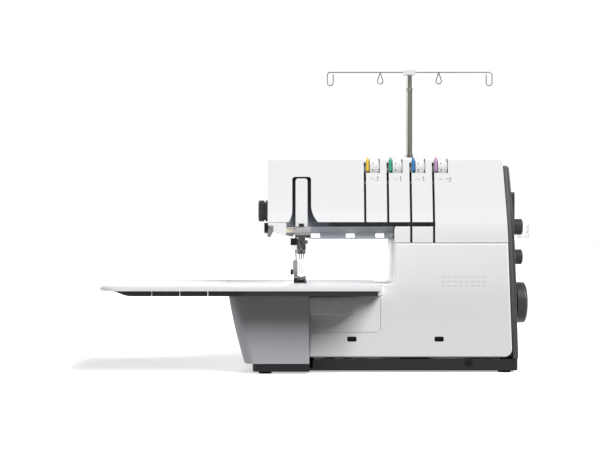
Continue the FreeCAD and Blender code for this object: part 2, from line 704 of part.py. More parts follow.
def shaft_pulleys():
    bore = MAIN_SHAFT_R + PUSH_FIT
    return group([tube_x((160, 170), SHAFT_DEPTH, MAIN_SHAFT_Z, 30, bore),
                  tube_x((180, 192), SHAFT_DEPTH, MAIN_SHAFT_Z, 16, bore)])


def handwheel():
    back = 264.6
    front = 282.0
    radius = 29.0
    profile = [(back, 0), (back, radius - 3), (back + 2, radius, 1.5), (front - 3, radius, 3),
               (front, radius - 6, 4), (front - 1.5, radius - 11, 6), (front - 3.5, 12), (front - 3.5, 0)]
    wheel = turned_x(profile, SHAFT_DEPTH, MAIN_SHAFT_Z)
    return trimmed(wheel, rod_x((260, 266.1), SHAFT_DEPTH, MAIN_SHAFT_Z, MAIN_SHAFT_R + PUSH_FIT))


def arm_shaft():
    shaft = rod_x((-13, 212), SHAFT_DEPTH, ARM_SHAFT_Z, ARM_SHAFT_R)
    crank = rod_x((-18, -12), SHAFT_DEPTH, ARM_SHAFT_Z, 18)
    pin = rod_x((-20, -17), SHAFT_DEPTH, ARM_SHAFT_Z + CRANK_THROW, 4)
    pulley = rod_x((180, 192), SHAFT_DEPTH, ARM_SHAFT_Z, 16)
    return joined(shaft, crank, pin, pulley)


def connecting_rod():
    x = (-24.6, -20.7)
    top = ARM_SHAFT_Z + CRANK_THROW
    low = top - 32
    rod = joined(rod_x(x, SHAFT_DEPTH, top, 7), rod_x(x, SHAFT_DEPTH, low, 5.5),
                 block(x, (SHAFT_DEPTH - 3.5, SHAFT_DEPTH + 3.5), (low, top)))
    return trimmed(rod, rod_x((-30, -10), SHAFT_DEPTH, top, 4.05),
                   rod_x((-30, -10), SHAFT_DEPTH, low, 2.5 + PUSH_FIT))


def needle_bar():
    pin_z = ARM_SHAFT_Z + CRANK_THROW - 32
    bar = rod_z(NEEDLE_X, SHAFT_DEPTH, (178, 292), NEEDLE_BAR_R)
    collar = block((NEEDLE_X - 6, NEEDLE_X + 6), (49, 61), (pin_z - 5.5, pin_z + 5.5))
    pin = rod_x((NEEDLE_X + 5, -20.7), SHAFT_DEPTH, pin_z, 2.5)
    return joined(bar, collar, pin)


def needle_spots():
    return [NEEDLE_X + step * NEEDLE_PITCH for step in (-1, 0, 1)]


def needle_clamp():
    half = 6.1
    corners = [(NEEDLE_X - half, 163, 1.5), (NEEDLE_X + half, 163, 1.5), (NEEDLE_X + half, 181, 1.5),
               (NEEDLE_X + 4.6, 190, 1), (NEEDLE_X - 4.6, 190, 1), (NEEDLE_X - half, 181, 1.5)]
    body = front_prism(corners, (49.5, 60.5))
    screws = [rod_y(x, (46.5, 50.0), z, 1.5)
              for x, z in zip((NEEDLE_X - 3.6, NEEDLE_X, NEEDLE_X + 3.6), (167.5, 170.5, 167.5))]
    body = joined(body, *screws)
    tools = [rod_z(NEEDLE_X, SHAFT_DEPTH, (178, 195), NEEDLE_BAR_R + PUSH_FIT)]
    tools += [rod_z(x, SHAFT_DEPTH, (160, 173), 1.0 + PUSH_FIT) for x in needle_spots()]
    return trimmed(body, *tools)


def needles():
    shapes = []
    for x in needle_spots():
        shank = rod_z(x, SHAFT_DEPTH, (158, 172.5), 1.0)
        neck = Part.makeCone(0.5, 1.0, 3, point(x, SHAFT_DEPTH, 155), Vector(0, 0, 1))
        blade = rod_z(x, SHAFT_DEPTH, (NEEDLE_TIP_Z + 4, 155), 0.5)
        tip = Part.makeCone(0.1, 0.5, 4, point(x, SHAFT_DEPTH, NEEDLE_TIP_Z), Vector(0, 0, 1))
        shapes.append(joined(shank, neck, blade, tip))
    return group(shapes)


def presser_bar():
    bar = rod_z(PRESSER_X, PRESSER_DEPTH, (140, 272), PRESSER_BAR_R)
    collar = rod_z(PRESSER_X, PRESSER_DEPTH, (222, 228), 7)
    tab = block((PRESSER_X - 5, PRESSER_X + 5), (73, 80.5), (222, 228))
    guide_corners = [(-49.2, 168.5, 1), (-41.2, 168.5, 1), (-41.2, 185, 1), (-49.2, 185, 1)]
    guide = front_prism(guide_corners, (65, 75))
    return joined(bar, collar, tab, guide)


def foot_holder():
    corners = [(-48.2, 133.6, 1), (-41.2, 133.6, 1), (-41.2, 154, 2), (-48.2, 154, 2)]
    body = front_prism(corners, (64.5, 75.5))
    screw = rod_x((-51, -48), PRESSER_DEPTH, 137, 3.2)
    bore = rod_z(PRESSER_X, PRESSER_DEPTH, (140, 160), PRESSER_BAR_R + PUSH_FIT)
    return trimmed(joined(body, screw), bore)


def presser_foot():
    sole_z = BED_TOP + 0.4
    profile = [(36, sole_z + 6.5), (37.5, sole_z + 10.4, 1), (50, sole_z + 3.2, 12), (86, sole_z + 3.2, 1),
               (86, sole_z + 1, 0.5), (83, sole_z, 6), (47, sole_z, 10)]
    sole = side_prism(profile, (-46.8, -29.6))
    neck = block((-46.6, -42), (65, 75), (sole_z + 2, 133.5))
    slot = block((-41, -31), (51, 59), (110, 140))
    toe = block((-38.5, -33.5), (30, 41), (110, 140))
    return trimmed(joined(sole, neck), slot, toe)


def presser_spring():
    low = 228.2
    high = 253.8
    wire = 0.7
    coil = 5.1
    path = Part.makeHelix(4.0, high - low - 2 * wire, coil)
    path.translate(point(PRESSER_X, PRESSER_DEPTH, low + wire))
    start = path.Edges[0].Vertexes[0].Point
    ring = Part.Wire(Part.makeCircle(wire, start, Vector(0, 1, 0.12)))
    return path.makePipeShell([ring], True, True)


def foot_lifter():
    shaft = rod_y(LIFTER_X, (74, 152), LIFTER_Z, 3.5)
    finger = block((LIFTER_X - 10, LIFTER_X), (74, 80), (LIFTER_Z - 2.5, LIFTER_Z + 2.5))
    hub = rod_y(LIFTER_X, (150, 156), LIFTER_Z, 8)
    arm = front_prism([(LIFTER_X, LIFTER_Z + 8), (-70, 206, 10), (-86.4, 203.5, 2), (-86.4, 187, 2),
                       (-82.2, 185.8, 2), (-78.2, 194, 4), (LIFTER_X, LIFTER_Z - 8)], (150, 156))
    return joined(shaft, finger, hub, arm)


def looper():
    pivot_x, pivot_z = 4.0, 66.0
    shaft = rod_y(pivot_x, (44, 84), pivot_z, 4)
    arm = front_prism([(0, 62, 3), (9, 62, 3), (8, 84, 8), (-4, 109, 6), (-24, 111), (-43, 109.5, 0.8),
                       (-24, 107.5), (-10, 104, 6), (-1, 84, 8)], (57.2, 59.2))
    hub = rod_y(pivot_x, (54, 62), pivot_z, 8)
    return joined(shaft, hub, arm)


def feed_dog(depth, bar_depth):
    low = 112.0
    top = BED_TOP - 0.6
    rib = block((-44, -28), depth, (low, top - 1.2))
    carrier = block((-44, 14), bar_depth, (104, low + 1))
    teeth = []
    count = int((depth[1] - depth[0]) / 2)
    for step in range(count):
        start = depth[0] + 2 * step
        profile = [(start, top - 1.4), (start + 2, top - 1.4), (start + 1.6, top)]
        for x in ((-44, -38.6), (-33.4, -28)):
            teeth.append(side_prism(profile, x))
    return joined(rib, carrier, *teeth)


def drive_motor():
    case = rod_x((100, 156), MOTOR_DEPTH, MOTOR_Z, MOTOR_R)
    foot = block((108, 148), (95, 129), (12, 28))
    nose = rod_x((155, 158), MOTOR_DEPTH, MOTOR_Z, 10)
    bore = rod_x((148, 160), MOTOR_DEPTH, MOTOR_Z, 3 + RUNNING_FIT)
    return trimmed(joined(case, foot, nose), bore)


def motor_pulley():
    return joined(rod_x((149, 172), MOTOR_DEPTH, MOTOR_Z, 3), rod_x((160, 170), MOTOR_DEPTH, MOTOR_Z, 8))


def belt_loop(first, second, x):
    # Solid that fills a belt run round two wheels given as (depth, z, radius)
    depth_step = second[0] - first[0]
    height_step = second[1] - first[1]
    span = math.hypot(depth_step, height_step)
    heading = math.atan2(height_step, depth_step)
    spread = math.acos((first[2] - second[2]) / span)

    def rim(wheel, angle):
        return point(x[0], wheel[0] + wheel[2] * math.cos(angle), wheel[1] + wheel[2] * math.sin(angle))

    upper, lower = heading + spread, heading - spread
    edges = [Part.Arc(rim(first, upper), rim(first, heading + math.pi), rim(first, lower)).toShape(),
             Part.LineSegment(rim(first, lower), rim(second, lower)).toShape(),
             Part.Arc(rim(second, lower), rim(second, heading), rim(second, upper)).toShape(),
             Part.LineSegment(rim(second, upper), rim(first, upper)).toShape()]
    return Part.Face(Part.Wire(edges)).extrude(Vector(x[1] - x[0], 0, 0))


def belt(first, second, x):
    gap = 0.35
    thickness = 1.6

    def grown(wheel, extra):
        return (wheel[0], wheel[1], wheel[2] + extra)

    outer = belt_loop(grown(first, gap + thickness), grown(second, gap + thickness), x)
    return trimmed(outer, belt_loop(grown(first, gap), grown(second, gap), x))


def drive_belts():
    drive = belt((SHAFT_DEPTH, MAIN_SHAFT_Z, 30), (MOTOR_DEPTH, MOTOR_Z, 8), (161, 169))
    timing = belt((SHAFT_DEPTH, MAIN_SHAFT_Z, 16), (SHAFT_DEPTH, ARM_SHAFT_Z, 16), (181, 191))
    return group([drive, timing])


def circuit_board():
    board = block((150, 240), (136, 137.6), (110, 180))
    chips = [block((160, 184), (131, 136.2), (120, 140)), block((196, 214), (126, 136.2), (146, 170)),
             block((222, 234), (128, 136.2), (116, 132))]
    posts = [rod_y(x, (137, BODY_REAR - WALL - 0.05), z, 3) for x in (155, 235) for z in (115, 175)]
    return joined(board, *(chips + posts))


def threading_lever():
    x = (259.0, 264.6)
    stem = rod_x((252, 262), LEVER_DEPTH, LEVER_Z, 3.5)
    corners = [(44, 211, 5.9), (56, 211, 5.9), (57, 240, 20), (56, 250.5, 4), (44, 250.5, 4), (43, 240, 20)]
    return joined(stem, side_prism(corners, x))


def side_knob(start, end, radius, z):
    profile = [(start, 0), (start, radius - 0.6), (start + 4, radius, 2), (end - 1.5, radius, 1.5),
               (end, radius - 2.5, 1), (end, 0)]
    cap = turned_x(profile, KNOB_DEPTH, z)
    cap = serrated_x(cap, (start + 5, end + 1), KNOB_DEPTH, z, radius + 0.25, 28)
    return joined(cap, rod_x((250, start + 1), KNOB_DEPTH, z, 4))


def pressure_dial():
    start, end = -96.7, -83.8
    radius = 15.0
    profile = [(start, 0), (start, radius - 1), (start + 1.5, radius, 1), (-88.6, radius, 0.8),
               (-88.6, radius - 2), (-86.6, radius - 2), (-86.6, radius, 0.4), (end, radius, 0.4), (end, 0)]
    cap = turned_x(profile, PRESSURE_DEPTH, PRESSURE_Z)
    cap = serrated_x(cap, (start - 1, -89.5), PRESSURE_DEPTH, PRESSURE_Z, radius + 0.25, 36)
    return joined(cap, rod_x((end - 1, -74), PRESSURE_DEPTH, PRESSURE_Z, 4.1))


def thread_cutter():
    bracket = block((ARM_LEFT - 0.85, ARM_LEFT - 0.05), (48, 60), (198, 219))
    body = side_prism([(46, 194, 2), (60, 192, 2), (60, 207, 2), (46, 207, 4)], (-88.5, -83.2))
    slot = side_prism([(44, 196.5), (52, 199), (44, 201.5)], (-86.4, -85.2))
    joint = block((-84, ARM_LEFT - 0.1), (48, 58), (198, 206))
    stem_space = rod_x((-90, -80), PRESSURE_DEPTH, PRESSURE_Z, 6)
    return trimmed(joined(bracket, joint, body), slot, stem_space)


def mast_lower():
    return tube_z(MAST_X, MAST_DEPTH, (186, 312), LOWER_TUBE_R, MIDDLE_TUBE_R + RUNNING_FIT)


def mast_middle():
    return tube_z(MAST_X, MAST_DEPTH, (296, 412), MIDDLE_TUBE_R, TOP_ROD_R + RUNNING_FIT)


def mast_upper():
    return rod_z(MAST_X, MAST_DEPTH, (330, CAP_Z[0] + 2), TOP_ROD_R)


def guide_cap():
    low, high = CAP_Z
    body = block((MAST_X - 9, MAST_X + 9), (MAST_DEPTH - 5.5, MAST_DEPTH + 5.5), CAP_Z)
    body = rounded(body, 2.0, lies_at_height(high))
    return trimmed(body, rod_z(MAST_X, MAST_DEPTH, (low - 1, low + 2.05), TOP_ROD_R + PUSH_FIT),
                   rod_x((100, 150), MAST_DEPTH, WIRE_Z, WIRE_R + PUSH_FIT))


def wire_along(edges, start, heading):
    ring = Part.Wire(Part.makeCircle(WIRE_R, start, heading))
    return Part.Wire(edges).makePipeShell([ring], True, True)


def end_loop(x, side):
    # Long open eye at one end of the guide wire, hanging below it
    def spot(along, down):
        return point(x + side * along, MAST_DEPTH, WIRE_Z - down)

    foot = 15.8
    turn = 4.4 * math.sin(math.pi / 4)
    edges = [Part.LineSegment(spot(-30, 0), spot(0, 0)).toShape(),
             Part.Arc(spot(0, 0), spot(turn, 4.4 - turn), spot(4.4, 4.4)).toShape(),
             Part.LineSegment(spot(4.4, 4.4), spot(4.4, foot)).toShape(),
             Part.Arc(spot(4.4, foot), spot(0, foot + 4.4), spot(-4.4, foot)).toShape(),
             Part.LineSegment(spot(-4.4, foot), spot(-4.4, 3.0)).toShape()]
    return wire_along(edges, spot(-30, 0), Vector(1, 0, 0))


def drop_loop(x, side):
    # One half of a closed teardrop eye below the guide wire
    def spot(along, down):
        return point(x + side * along, MAST_DEPTH, WIRE_Z - down)

    radius = 4.1
    drop = 13.5
    spread = math.acos(radius / drop)
    leave = (radius * math.sin(spread), drop - radius * math.cos(spread))
    middle = (radius * math.sin((spread + math.pi) / 2), drop - radius * math.cos((spread + math.pi) / 2))
    leg = Part.LineSegment(spot(0, 0), spot(*leave)).toShape()
    bend = Part.Arc(spot(*leave), spot(*middle), spot(0, drop + radius)).toShape()
    heading = spot(*leave).sub(spot(0, 0))
    return wire_along([leg, bend], spot(0, 0), heading)


def guide_wires():
    straight = rod_x((SPOOL_X[0] + 10, SPOOL_X[3] - 10), MAST_DEPTH, WIRE_Z, WIRE_R)
    pieces = [end_loop(SPOOL_X[0], -1), end_loop(SPOOL_X[3], 1)]
    for x in SPOOL_X[1:3]:
        pieces.append(drop_loop(x, 1))
        pieces.append(drop_loop(x, -1))
    return joined(straight, *pieces)


def spool_tray():
    floor = TRAY_Z[0] + 2.5
    corners = [(TRAY_X[0], TRAY_DEPTH[0], 28), (TRAY_X[1], TRAY_DEPTH[0], 28),
               (TRAY_X[1], TRAY_DEPTH[1], 28), (TRAY_X[0], TRAY_DEPTH[1], 28)]
    outer = plan_prism(corners, TRAY_Z)
    inner = plan_prism(corners, (floor, TRAY_Z[1] + 5), 2.5)
    tray = trimmed(outer, inner)
    low_side = block((TRAY_X[0] + 34, TRAY_X[1] - 34), (TRAY_DEPTH[0] - 5, TRAY_DEPTH[1] + 5), (192, 210))
    tray = trimmed(tray, low_side)
    boss = rod_z(MAST_X, MAST_DEPTH, (floor - 1, TRAY_Z[1]), 8)
    reach = (BODY_REAR + 0.1, TRAY_DEPTH[0] + 1)
    brackets = [block((x, x + 20), reach, (TRAY_Z[0], 192)) for x in (105, 215)]
    tray = joined(tray, boss, *brackets)
    return trimmed(tray, rod_z(MAST_X, MAST_DEPTH, (186, 220), LOWER_TUBE_R + PUSH_FIT))


def spool_pins():
    floor = TRAY_Z[0] + 2.5
    shapes = []
    for x in SPOOL_X:
        shapes.append(joined(rod_z(x, MAST_DEPTH, (floor, floor + 3), 14),
                             rod_z(x, MAST_DEPTH, (floor, 250), 3)))
    return group(shapes)


def table_corners():
    left, right = TABLE_X
    front, rear = TABLE_DEPTH
    gap = 1.2
    notch = bed_left(BED_TOP) - gap
    return [(left, front, 28), (right, front, 4), (right, BED_FRONT - gap), (notch, BED_FRONT - gap, 17),
            (notch, BED_REAR + gap, 17), (right, BED_REAR + gap), (right, rear, 4), (left, rear, 28)]


def table_top():
    skin = 2.6
    rim = 4.5
    slab = plan_prism(table_corners(), (TABLE_LIP_Z, TABLE_TOP))
    notch = bed_left(BED_TOP) - 3

    def outer_edge(edge):
        box = edge.BoundBox
        within = box.YMin > FACE_Y + BED_FRONT - 2 and box.YMax < FACE_Y + BED_REAR + 2
        beside_notch = box.XMin > notch and within
        return abs(box.ZMin - TABLE_TOP) < 0.01 and not beside_notch

    slab = rounded(slab, 4.0, outer_edge)
    return trimmed(slab, plan_prism(table_corners(), (TABLE_LIP_Z - 1, TABLE_TOP - skin), rim))


def rail_spans():
    return ((-288.3, -236.6), (-235.6, -199.1), (-198.1, -161.7), (-160.7, 66.0))


def table_underframe():
    top = TABLE_TOP - 2.6
    front_rail = (-66.0, -58.0)
    rear_rail = (155.0, 163.0)
    rib_x = (-262.0, -217.0, -180.0, -150.0)
    shapes = []
    for number, span in enumerate(rail_spans()):
        corners = [(span[0], top), (span[1], top), (span[1], RAIL_Z, 1), (span[0], RAIL_Z, 1)]
        if number == 0:
            corners = [(span[0], top), (span[1], top), (span[1], RAIL_Z, 1), (span[0] + 20, RAIL_Z, 30),
                       (span[0], TABLE_LIP_Z)]
        width = (rib_x[number] - 2, rib_x[number] + 2)
        rib = block(width, (front_rail[1] - 1, rear_rail[0] + 1), (112, top))
        shapes.append(joined(front_prism(corners, front_rail), front_prism(corners, rear_rail), rib))
    return group(shapes)


PIECES = {
    "rubber_feet": rubber_feet,
    "base_pan": base_pan,
    "cast_frame": cast_frame,
    "bearing_bushes": bearing_bushes,
    "front_housing": front_housing,
    "rear_housing": rear_housing,
    "casing_screws": casing_screws,
    "arm_underside": arm_underside,
    "led_modules": led_modules,
    "bed_casing": bed_casing,
    "needle_plate": needle_plate,
    "throat_cover": throat_cover,
    "front_cover": front_cover,
    "looper_door": looper_door,
    "hinge_pins": hinge_pins,
    "right_panel": right_panel,
    "power_inlet": power_inlet,
    "power_switch": power_switch,
    "thread_channel": thread_channel,
    "take_up_cover": take_up_cover,
    "thread_tabs": thread_tabs,
    "tension_rack": tension_rack,
    "tension_dial_1": lambda: tension_dial(SLOT_X[0]),
    "tension_dial_2": lambda: tension_dial(SLOT_X[1]),
    "tension_dial_3": lambda: tension_dial(SLOT_X[2]),
    "tension_dial_4": lambda: tension_dial(SLOT_X[3]),
    "main_shaft": main_shaft,
    "shaft_pulleys": shaft_pulleys,
    "handwheel": handwheel,
    "arm_shaft": arm_shaft,
    "connecting_rod": connecting_rod,
    "needle_bar": needle_bar,
    "needle_clamp": needle_clamp,
    "needles": needles,
    "presser_bar": presser_bar,
    "foot_holder": foot_holder,
    "presser_foot": presser_foot,
    "presser_spring": presser_spring,
    "foot_lifter": foot_lifter,
    "looper": looper,
    "main_feed_dog": lambda: feed_dog((62, 90), (70, 82)),
    "differential_feed_dog": lambda: feed_dog((27, 48), (30, 42)),
    "drive_motor": drive_motor,
    "motor_pulley": motor_pulley,
    "drive_belts": drive_belts,
    "circuit_board": circuit_board,
    "threading_lever": threading_lever,
    "length_knob": lambda: side_knob(259.6, 278.7, 11.4, LENGTH_KNOB_Z),
    "differential_knob": lambda: side_knob(261.6, 278.7, 10.6, DIFFERENTIAL_KNOB_Z),
    "pressure_dial": pressure_dial,
    "thread_cutter": thread_cutter,
    "mast_lower": mast_lower,
    "mast_middle": mast_middle,
    "mast_upper": mast_upper,
    "guide_cap": guide_cap,
    "guide_wires": guide_wires,
    "spool_tray": spool_tray,
    "spool_pins": spool_pins,
    "table_top": table_top,
    "table_underframe": table_underframe,
}


def main():
    os.makedirs("parts", exist_ok=True)
    for name, make in PIECES.items():
        make().exportStep("parts/" + name + ".step")


main()
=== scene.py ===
import json
import math

import bpy
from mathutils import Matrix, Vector


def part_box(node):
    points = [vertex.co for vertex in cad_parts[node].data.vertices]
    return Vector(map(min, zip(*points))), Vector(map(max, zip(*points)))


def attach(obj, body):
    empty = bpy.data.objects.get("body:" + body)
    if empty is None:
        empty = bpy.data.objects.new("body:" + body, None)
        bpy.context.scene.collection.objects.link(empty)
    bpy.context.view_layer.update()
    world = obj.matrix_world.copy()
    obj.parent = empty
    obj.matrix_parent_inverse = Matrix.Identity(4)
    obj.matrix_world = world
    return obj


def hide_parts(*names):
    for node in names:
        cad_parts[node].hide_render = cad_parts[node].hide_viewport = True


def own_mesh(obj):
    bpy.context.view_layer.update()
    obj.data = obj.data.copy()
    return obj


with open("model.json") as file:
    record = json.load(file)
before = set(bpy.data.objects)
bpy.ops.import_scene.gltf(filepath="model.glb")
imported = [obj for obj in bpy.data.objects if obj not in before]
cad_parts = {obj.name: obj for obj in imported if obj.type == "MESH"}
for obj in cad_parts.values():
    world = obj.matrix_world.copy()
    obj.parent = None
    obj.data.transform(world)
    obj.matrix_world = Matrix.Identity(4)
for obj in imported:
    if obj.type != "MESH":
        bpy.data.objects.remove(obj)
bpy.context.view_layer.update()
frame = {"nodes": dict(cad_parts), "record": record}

bl_info = {
    "name": "Cover stitch machine",
    "version": (1, 0, 0),
    "blender": (4, 5, 0),
    "location": "View3D > Sidebar > Sewing",
    "description": "Finishes and fine detail of a table-top cover stitch machine",
    "category": "Object",
}

MM = 0.001

# Upper face of the body: upright at its foot, leaning back above that
FACE_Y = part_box("front_housing")[0].y
FACE_FOOT_Z = 208 * MM
FACE_TOP_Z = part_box("front_housing")[1].z
FACE_LEAN = 20 * MM
LEAN_ANGLE = math.atan2(FACE_LEAN, FACE_TOP_Z - FACE_FOOT_Z)

# Hook pockets in the front cover, and the lamps below the arm
HOOK_SLOTS_X = ((26.9 * MM, 40.1 * MM), (147.4 * MM, 160.5 * MM))
HOOK_SLOTS_Z = (42.9 * MM, 50.1 * MM)
LAMPS_X = (-70 * MM, 0 * MM, 70 * MM)

# Height of the signs below the tension dials
SIGNS_Z = 268 * MM

# A place right of the side panel, from which lines are drawn towards it
RIGHT_OF_PANEL = 0.3

# Edges sharper than this are bevelled and shaded as edges
EDGE_ANGLE = math.radians(35)

FORWARD, LEFT = Vector((0, -1, 0)), Vector((-1, 0, 0))
UP, DOWN = Vector((0, 0, 1)), Vector((0, 0, -1))

DIALS = ("tension_dial_1", "tension_dial_2", "tension_dial_3", "tension_dial_4")
TAB_NAMES = ("yellow", "green", "blue", "violet")


# Properties

class SewingColours(bpy.types.PropertyGroup):
    casing: bpy.props.FloatVectorProperty(
        name="Casing", description="White of the moulded casing", subtype="COLOR",
        size=4, default=(0.80, 0.80, 0.805, 1))
    # Painted shade: the bed casing is the same white plastic as the casing, toned darker for the
    # shadow of the table over it
    bed: bpy.props.FloatVectorProperty(
        name="Bed", description="Off-white of the bed casing", subtype="COLOR",
        size=4, default=(0.545, 0.535, 0.565, 1))
    # Painted shade: the table is the casing's white plastic, toned darker so that its top reads dimmer
    # under the lamps
    table: bpy.props.FloatVectorProperty(
        name="Table", description="White of the table and the throat cover", subtype="COLOR",
        size=4, default=(0.60, 0.60, 0.61, 1))
    rail: bpy.props.FloatVectorProperty(
        name="Table rails", description="Dark grey of the rails below the table", subtype="COLOR",
        size=4, default=(0.05, 0.05, 0.052, 1))
    chin: bpy.props.FloatVectorProperty(
        name="Arm underside", description="Pale grey below the arm", subtype="COLOR",
        size=4, default=(0.60, 0.63, 0.68, 1))
    panel: bpy.props.FloatVectorProperty(
        name="Side panel", description="Dark grey of the side panel and the pressure dial",
        subtype="COLOR", size=4, default=(0.048, 0.048, 0.050, 1))
    knob: bpy.props.FloatVectorProperty(
        name="Knobs", description="Near black of the handwheel, knobs and lever", subtype="COLOR",
        size=4, default=(0.017, 0.017, 0.019, 1))
    base: bpy.props.FloatVectorProperty(
        name="Base", description="Near black of the base pan", subtype="COLOR",
        size=4, default=(0.008, 0.008, 0.009, 1))
    channel: bpy.props.FloatVectorProperty(
        name="Thread channel", description="Slate lining of the thread slots", subtype="COLOR",
        size=4, default=(0.030, 0.033, 0.040, 1))
    yellow: bpy.props.FloatVectorProperty(
        name="First thread", description="Tab of the first thread path", subtype="COLOR",
        size=4, default=(0.86, 0.58, 0.03, 1))
    green: bpy.props.FloatVectorProperty(
        name="Second thread", description="Tab of the second thread path", subtype="COLOR",
        size=4, default=(0.01, 0.40, 0.22, 1))
    blue: bpy.props.FloatVectorProperty(
        name="Third thread", description="Tab of the third thread path", subtype="COLOR",
        size=4, default=(0.01, 0.20, 0.48, 1))
    violet: bpy.props.FloatVectorProperty(
        name="Fourth thread", description="Tab of the fourth thread path", subtype="COLOR",
        size=4, default=(0.57, 0.30, 0.54, 1))


class SewingSizes(bpy.types.PropertyGroup):
    print_height: bpy.props.FloatProperty(
        name="Print height", description="How far printed marks stand proud",
        unit="LENGTH", default=0.06 * MM)
    number_height: bpy.props.FloatProperty(
        name="Number height", description="Height of the numbers on the dials and the scales",
        unit="LENGTH", default=3.4 * MM)
    tab_width: bpy.props.FloatProperty(
        name="Tab width", description="Width of a thread tab", unit="LENGTH", default=3.0 * MM)
    camera_distance: bpy.props.FloatProperty(
        name="Camera distance", description="From the front cover to the camera",
        unit="LENGTH", default=2.0)
    camera_height: bpy.props.FloatProperty(
        name="Camera height", description="Height of the camera above the floor",
        unit="LENGTH", default=0.204)
    view_width: bpy.props.FloatProperty(
        name="View width", description="Width of the picture at the front cover",
        unit="LENGTH", default=0.828)


def colours():
    return bpy.context.scene.sewing_colours


def sizes():
    return bpy.context.scene.sewing_sizes


# Modelling

def clear_selection():
    if bpy.context.object and bpy.context.object.mode != "OBJECT":
        bpy.ops.object.mode_set(mode="OBJECT")
    bpy.ops.object.select_all(action="DESELECT")


def select_only(piece):
    clear_selection()
    piece.select_set(True)
    bpy.context.view_layer.objects.active = piece


def settle(piece, name):
    """Names a new piece and moves its place into its mesh."""
    piece.name = name
    piece.data.name = name
    select_only(piece)
    bpy.ops.object.transform_apply(location=True, rotation=True, scale=True)
    return piece


def block(name, centre, size, turn=(0, 0, 0)):
    clear_selection()
    bpy.ops.mesh.primitive_cube_add(size=1, location=centre, rotation=turn, scale=size)
    return settle(bpy.context.object, name)


def rod(name, centre, radius, length, axis, sides, fill="NGON"):
    turn = {"X": (0, math.pi / 2, 0), "Y": (math.pi / 2, 0, 0), "Z": (0, 0, 0)}[axis]
    clear_selection()
    bpy.ops.mesh.primitive_cylinder_add(
        vertices=sides, radius=radius, depth=length, end_fill_type=fill,
        location=centre, rotation=turn)
    return settle(bpy.context.object, name)


def ring(name, centre, radius, wire, sides, turn=(0, 0, 0)):
    clear_selection()
    bpy.ops.mesh.primitive_torus_add(
        major_radius=radius, minor_radius=wire, major_segments=sides, minor_segments=8,
        location=centre, rotation=turn)
    return settle(bpy.context.object, name)


def facing(direction):
    """A test for faces that look in one direction."""
    return lambda face: face.normal.dot(direction) > 0.9


def every_face(face):
    return True


def choose_faces(piece, wanted):
    """Enters edit mode with only the wanted faces selected."""
    select_only(piece)
    bpy.ops.object.mode_set(mode="EDIT")
    bpy.ops.mesh.select_mode(type="FACE")
    bpy.ops.mesh.select_all(action="DESELECT")
    bpy.ops.object.mode_set(mode="OBJECT")
    for face in piece.data.polygons:
        face.select = wanted(face)
    bpy.ops.object.mode_set(mode="EDIT")


def sink_faces(piece, wanted, rim, depth):
    """Insets the wanted faces and pushes the inner ones in."""
    choose_faces(piece, wanted)
    bpy.ops.mesh.inset(thickness=rim, use_even_offset=True)
    bpy.ops.mesh.extrude_region_shrink_fatten(TRANSFORM_OT_shrink_fatten={"value": -depth})
    bpy.ops.object.mode_set(mode="OBJECT")


def soften(piece, width, segments=2):
    select_only(piece)
    bevel = piece.modifiers.new("edge", "BEVEL")
    bevel.width = width
    bevel.segments = segments
    bevel.limit_method = "ANGLE"
    bevel.angle_limit = EDGE_ANGLE
    bpy.ops.object.modifier_apply(modifier=bevel.name)


def join_pieces(name, pieces):
    clear_selection()
    for piece in pieces:
        piece.select_set(True)
    bpy.context.view_layer.objects.active = pieces[0]
    bpy.ops.object.join()
    return settle(bpy.context.object, name)


def finish_piece(piece, body, material):
    select_only(piece)
    bpy.ops.object.shade_smooth_by_angle(angle=EDGE_ANGLE)
    piece.data.materials.clear()
    piece.data.materials.append(material)
    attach(piece, body)


def plain_number(text, centre, turn, height, thickness):
    """A plain number as a thin mesh, upright in its own plane before it is turned."""
    digit_share = 0.7
    clear_selection()
    bpy.ops.object.text_add()
    digits = bpy.context.object.data
    digits.body = text
    digits.align_x = "CENTER"
    digits.align_y = "CENTER"
    digits.size = height / digit_share
    digits.extrude = thickness
    digits.resolution_u = 3
    bpy.ops.object.convert(target="MESH")
    number = bpy.context.object
    number.rotation_euler = turn
    number.location = centre
    return settle(number, "number")


def right_surface(node, y, z):
    """Where a line from the right first meets a CAD node, and the surface's direction there."""
    start = Vector((RIGHT_OF_PANEL, y, z))
    hit, place, normal, _ = frame["nodes"][node].ray_cast(start, LEFT)
    if not hit:
        raise RuntimeError(f"nothing of {node} lies that way")
    return place, normal


def face_y(z):
    return FACE_Y + max(0.0, (z - FACE_FOOT_Z) / (FACE_TOP_Z - FACE_FOOT_Z)) * FACE_LEAN


# Materials

def new_material(name):
    material = bpy.data.materials.new(name)
    material.use_nodes = True
    return material, material.node_tree.nodes["Principled BSDF"]


def add_node(owner, kind, **values):
    """Adds a node to a material or a world, with values for its sockets or settings."""
    node = owner.node_tree.nodes.new(kind)
    for key, value in values.items():
        if key in node.inputs:
            node.inputs[key].default_value = value
        else:
            setattr(node, key, value)
    return node


def link(owner, source, target):
    owner.node_tree.links.new(source, target)


def combined(owner, operation, first, second):
    """One number made from two sockets by a mathematical operation."""
    result = add_node(owner, "ShaderNodeMath", operation=operation)
    link(owner, first, result.inputs[0])
    link(owner, second, result.inputs[1])
    return result.outputs[0]


def object_noise(material, size, stretch=(1, 1, 1), detail=3.0):
    """Noise whose features are about one size across, stretched along the axes."""
    place = add_node(material, "ShaderNodeTexCoord")
    mapping = add_node(material, "ShaderNodeMapping")
    mapping.inputs["Scale"].default_value = stretch
    noise = add_node(material, "ShaderNodeTexNoise", Scale=1.0 / size, Detail=detail)
    link(material, place.outputs["Object"], mapping.inputs["Vector"])
    link(material, mapping.outputs["Vector"], noise.inputs["Vector"])
    return noise.outputs["Fac"]


def scaled(colour, factor):
    return [min(1.0, c * factor) for c in colour[:3]] + [1]


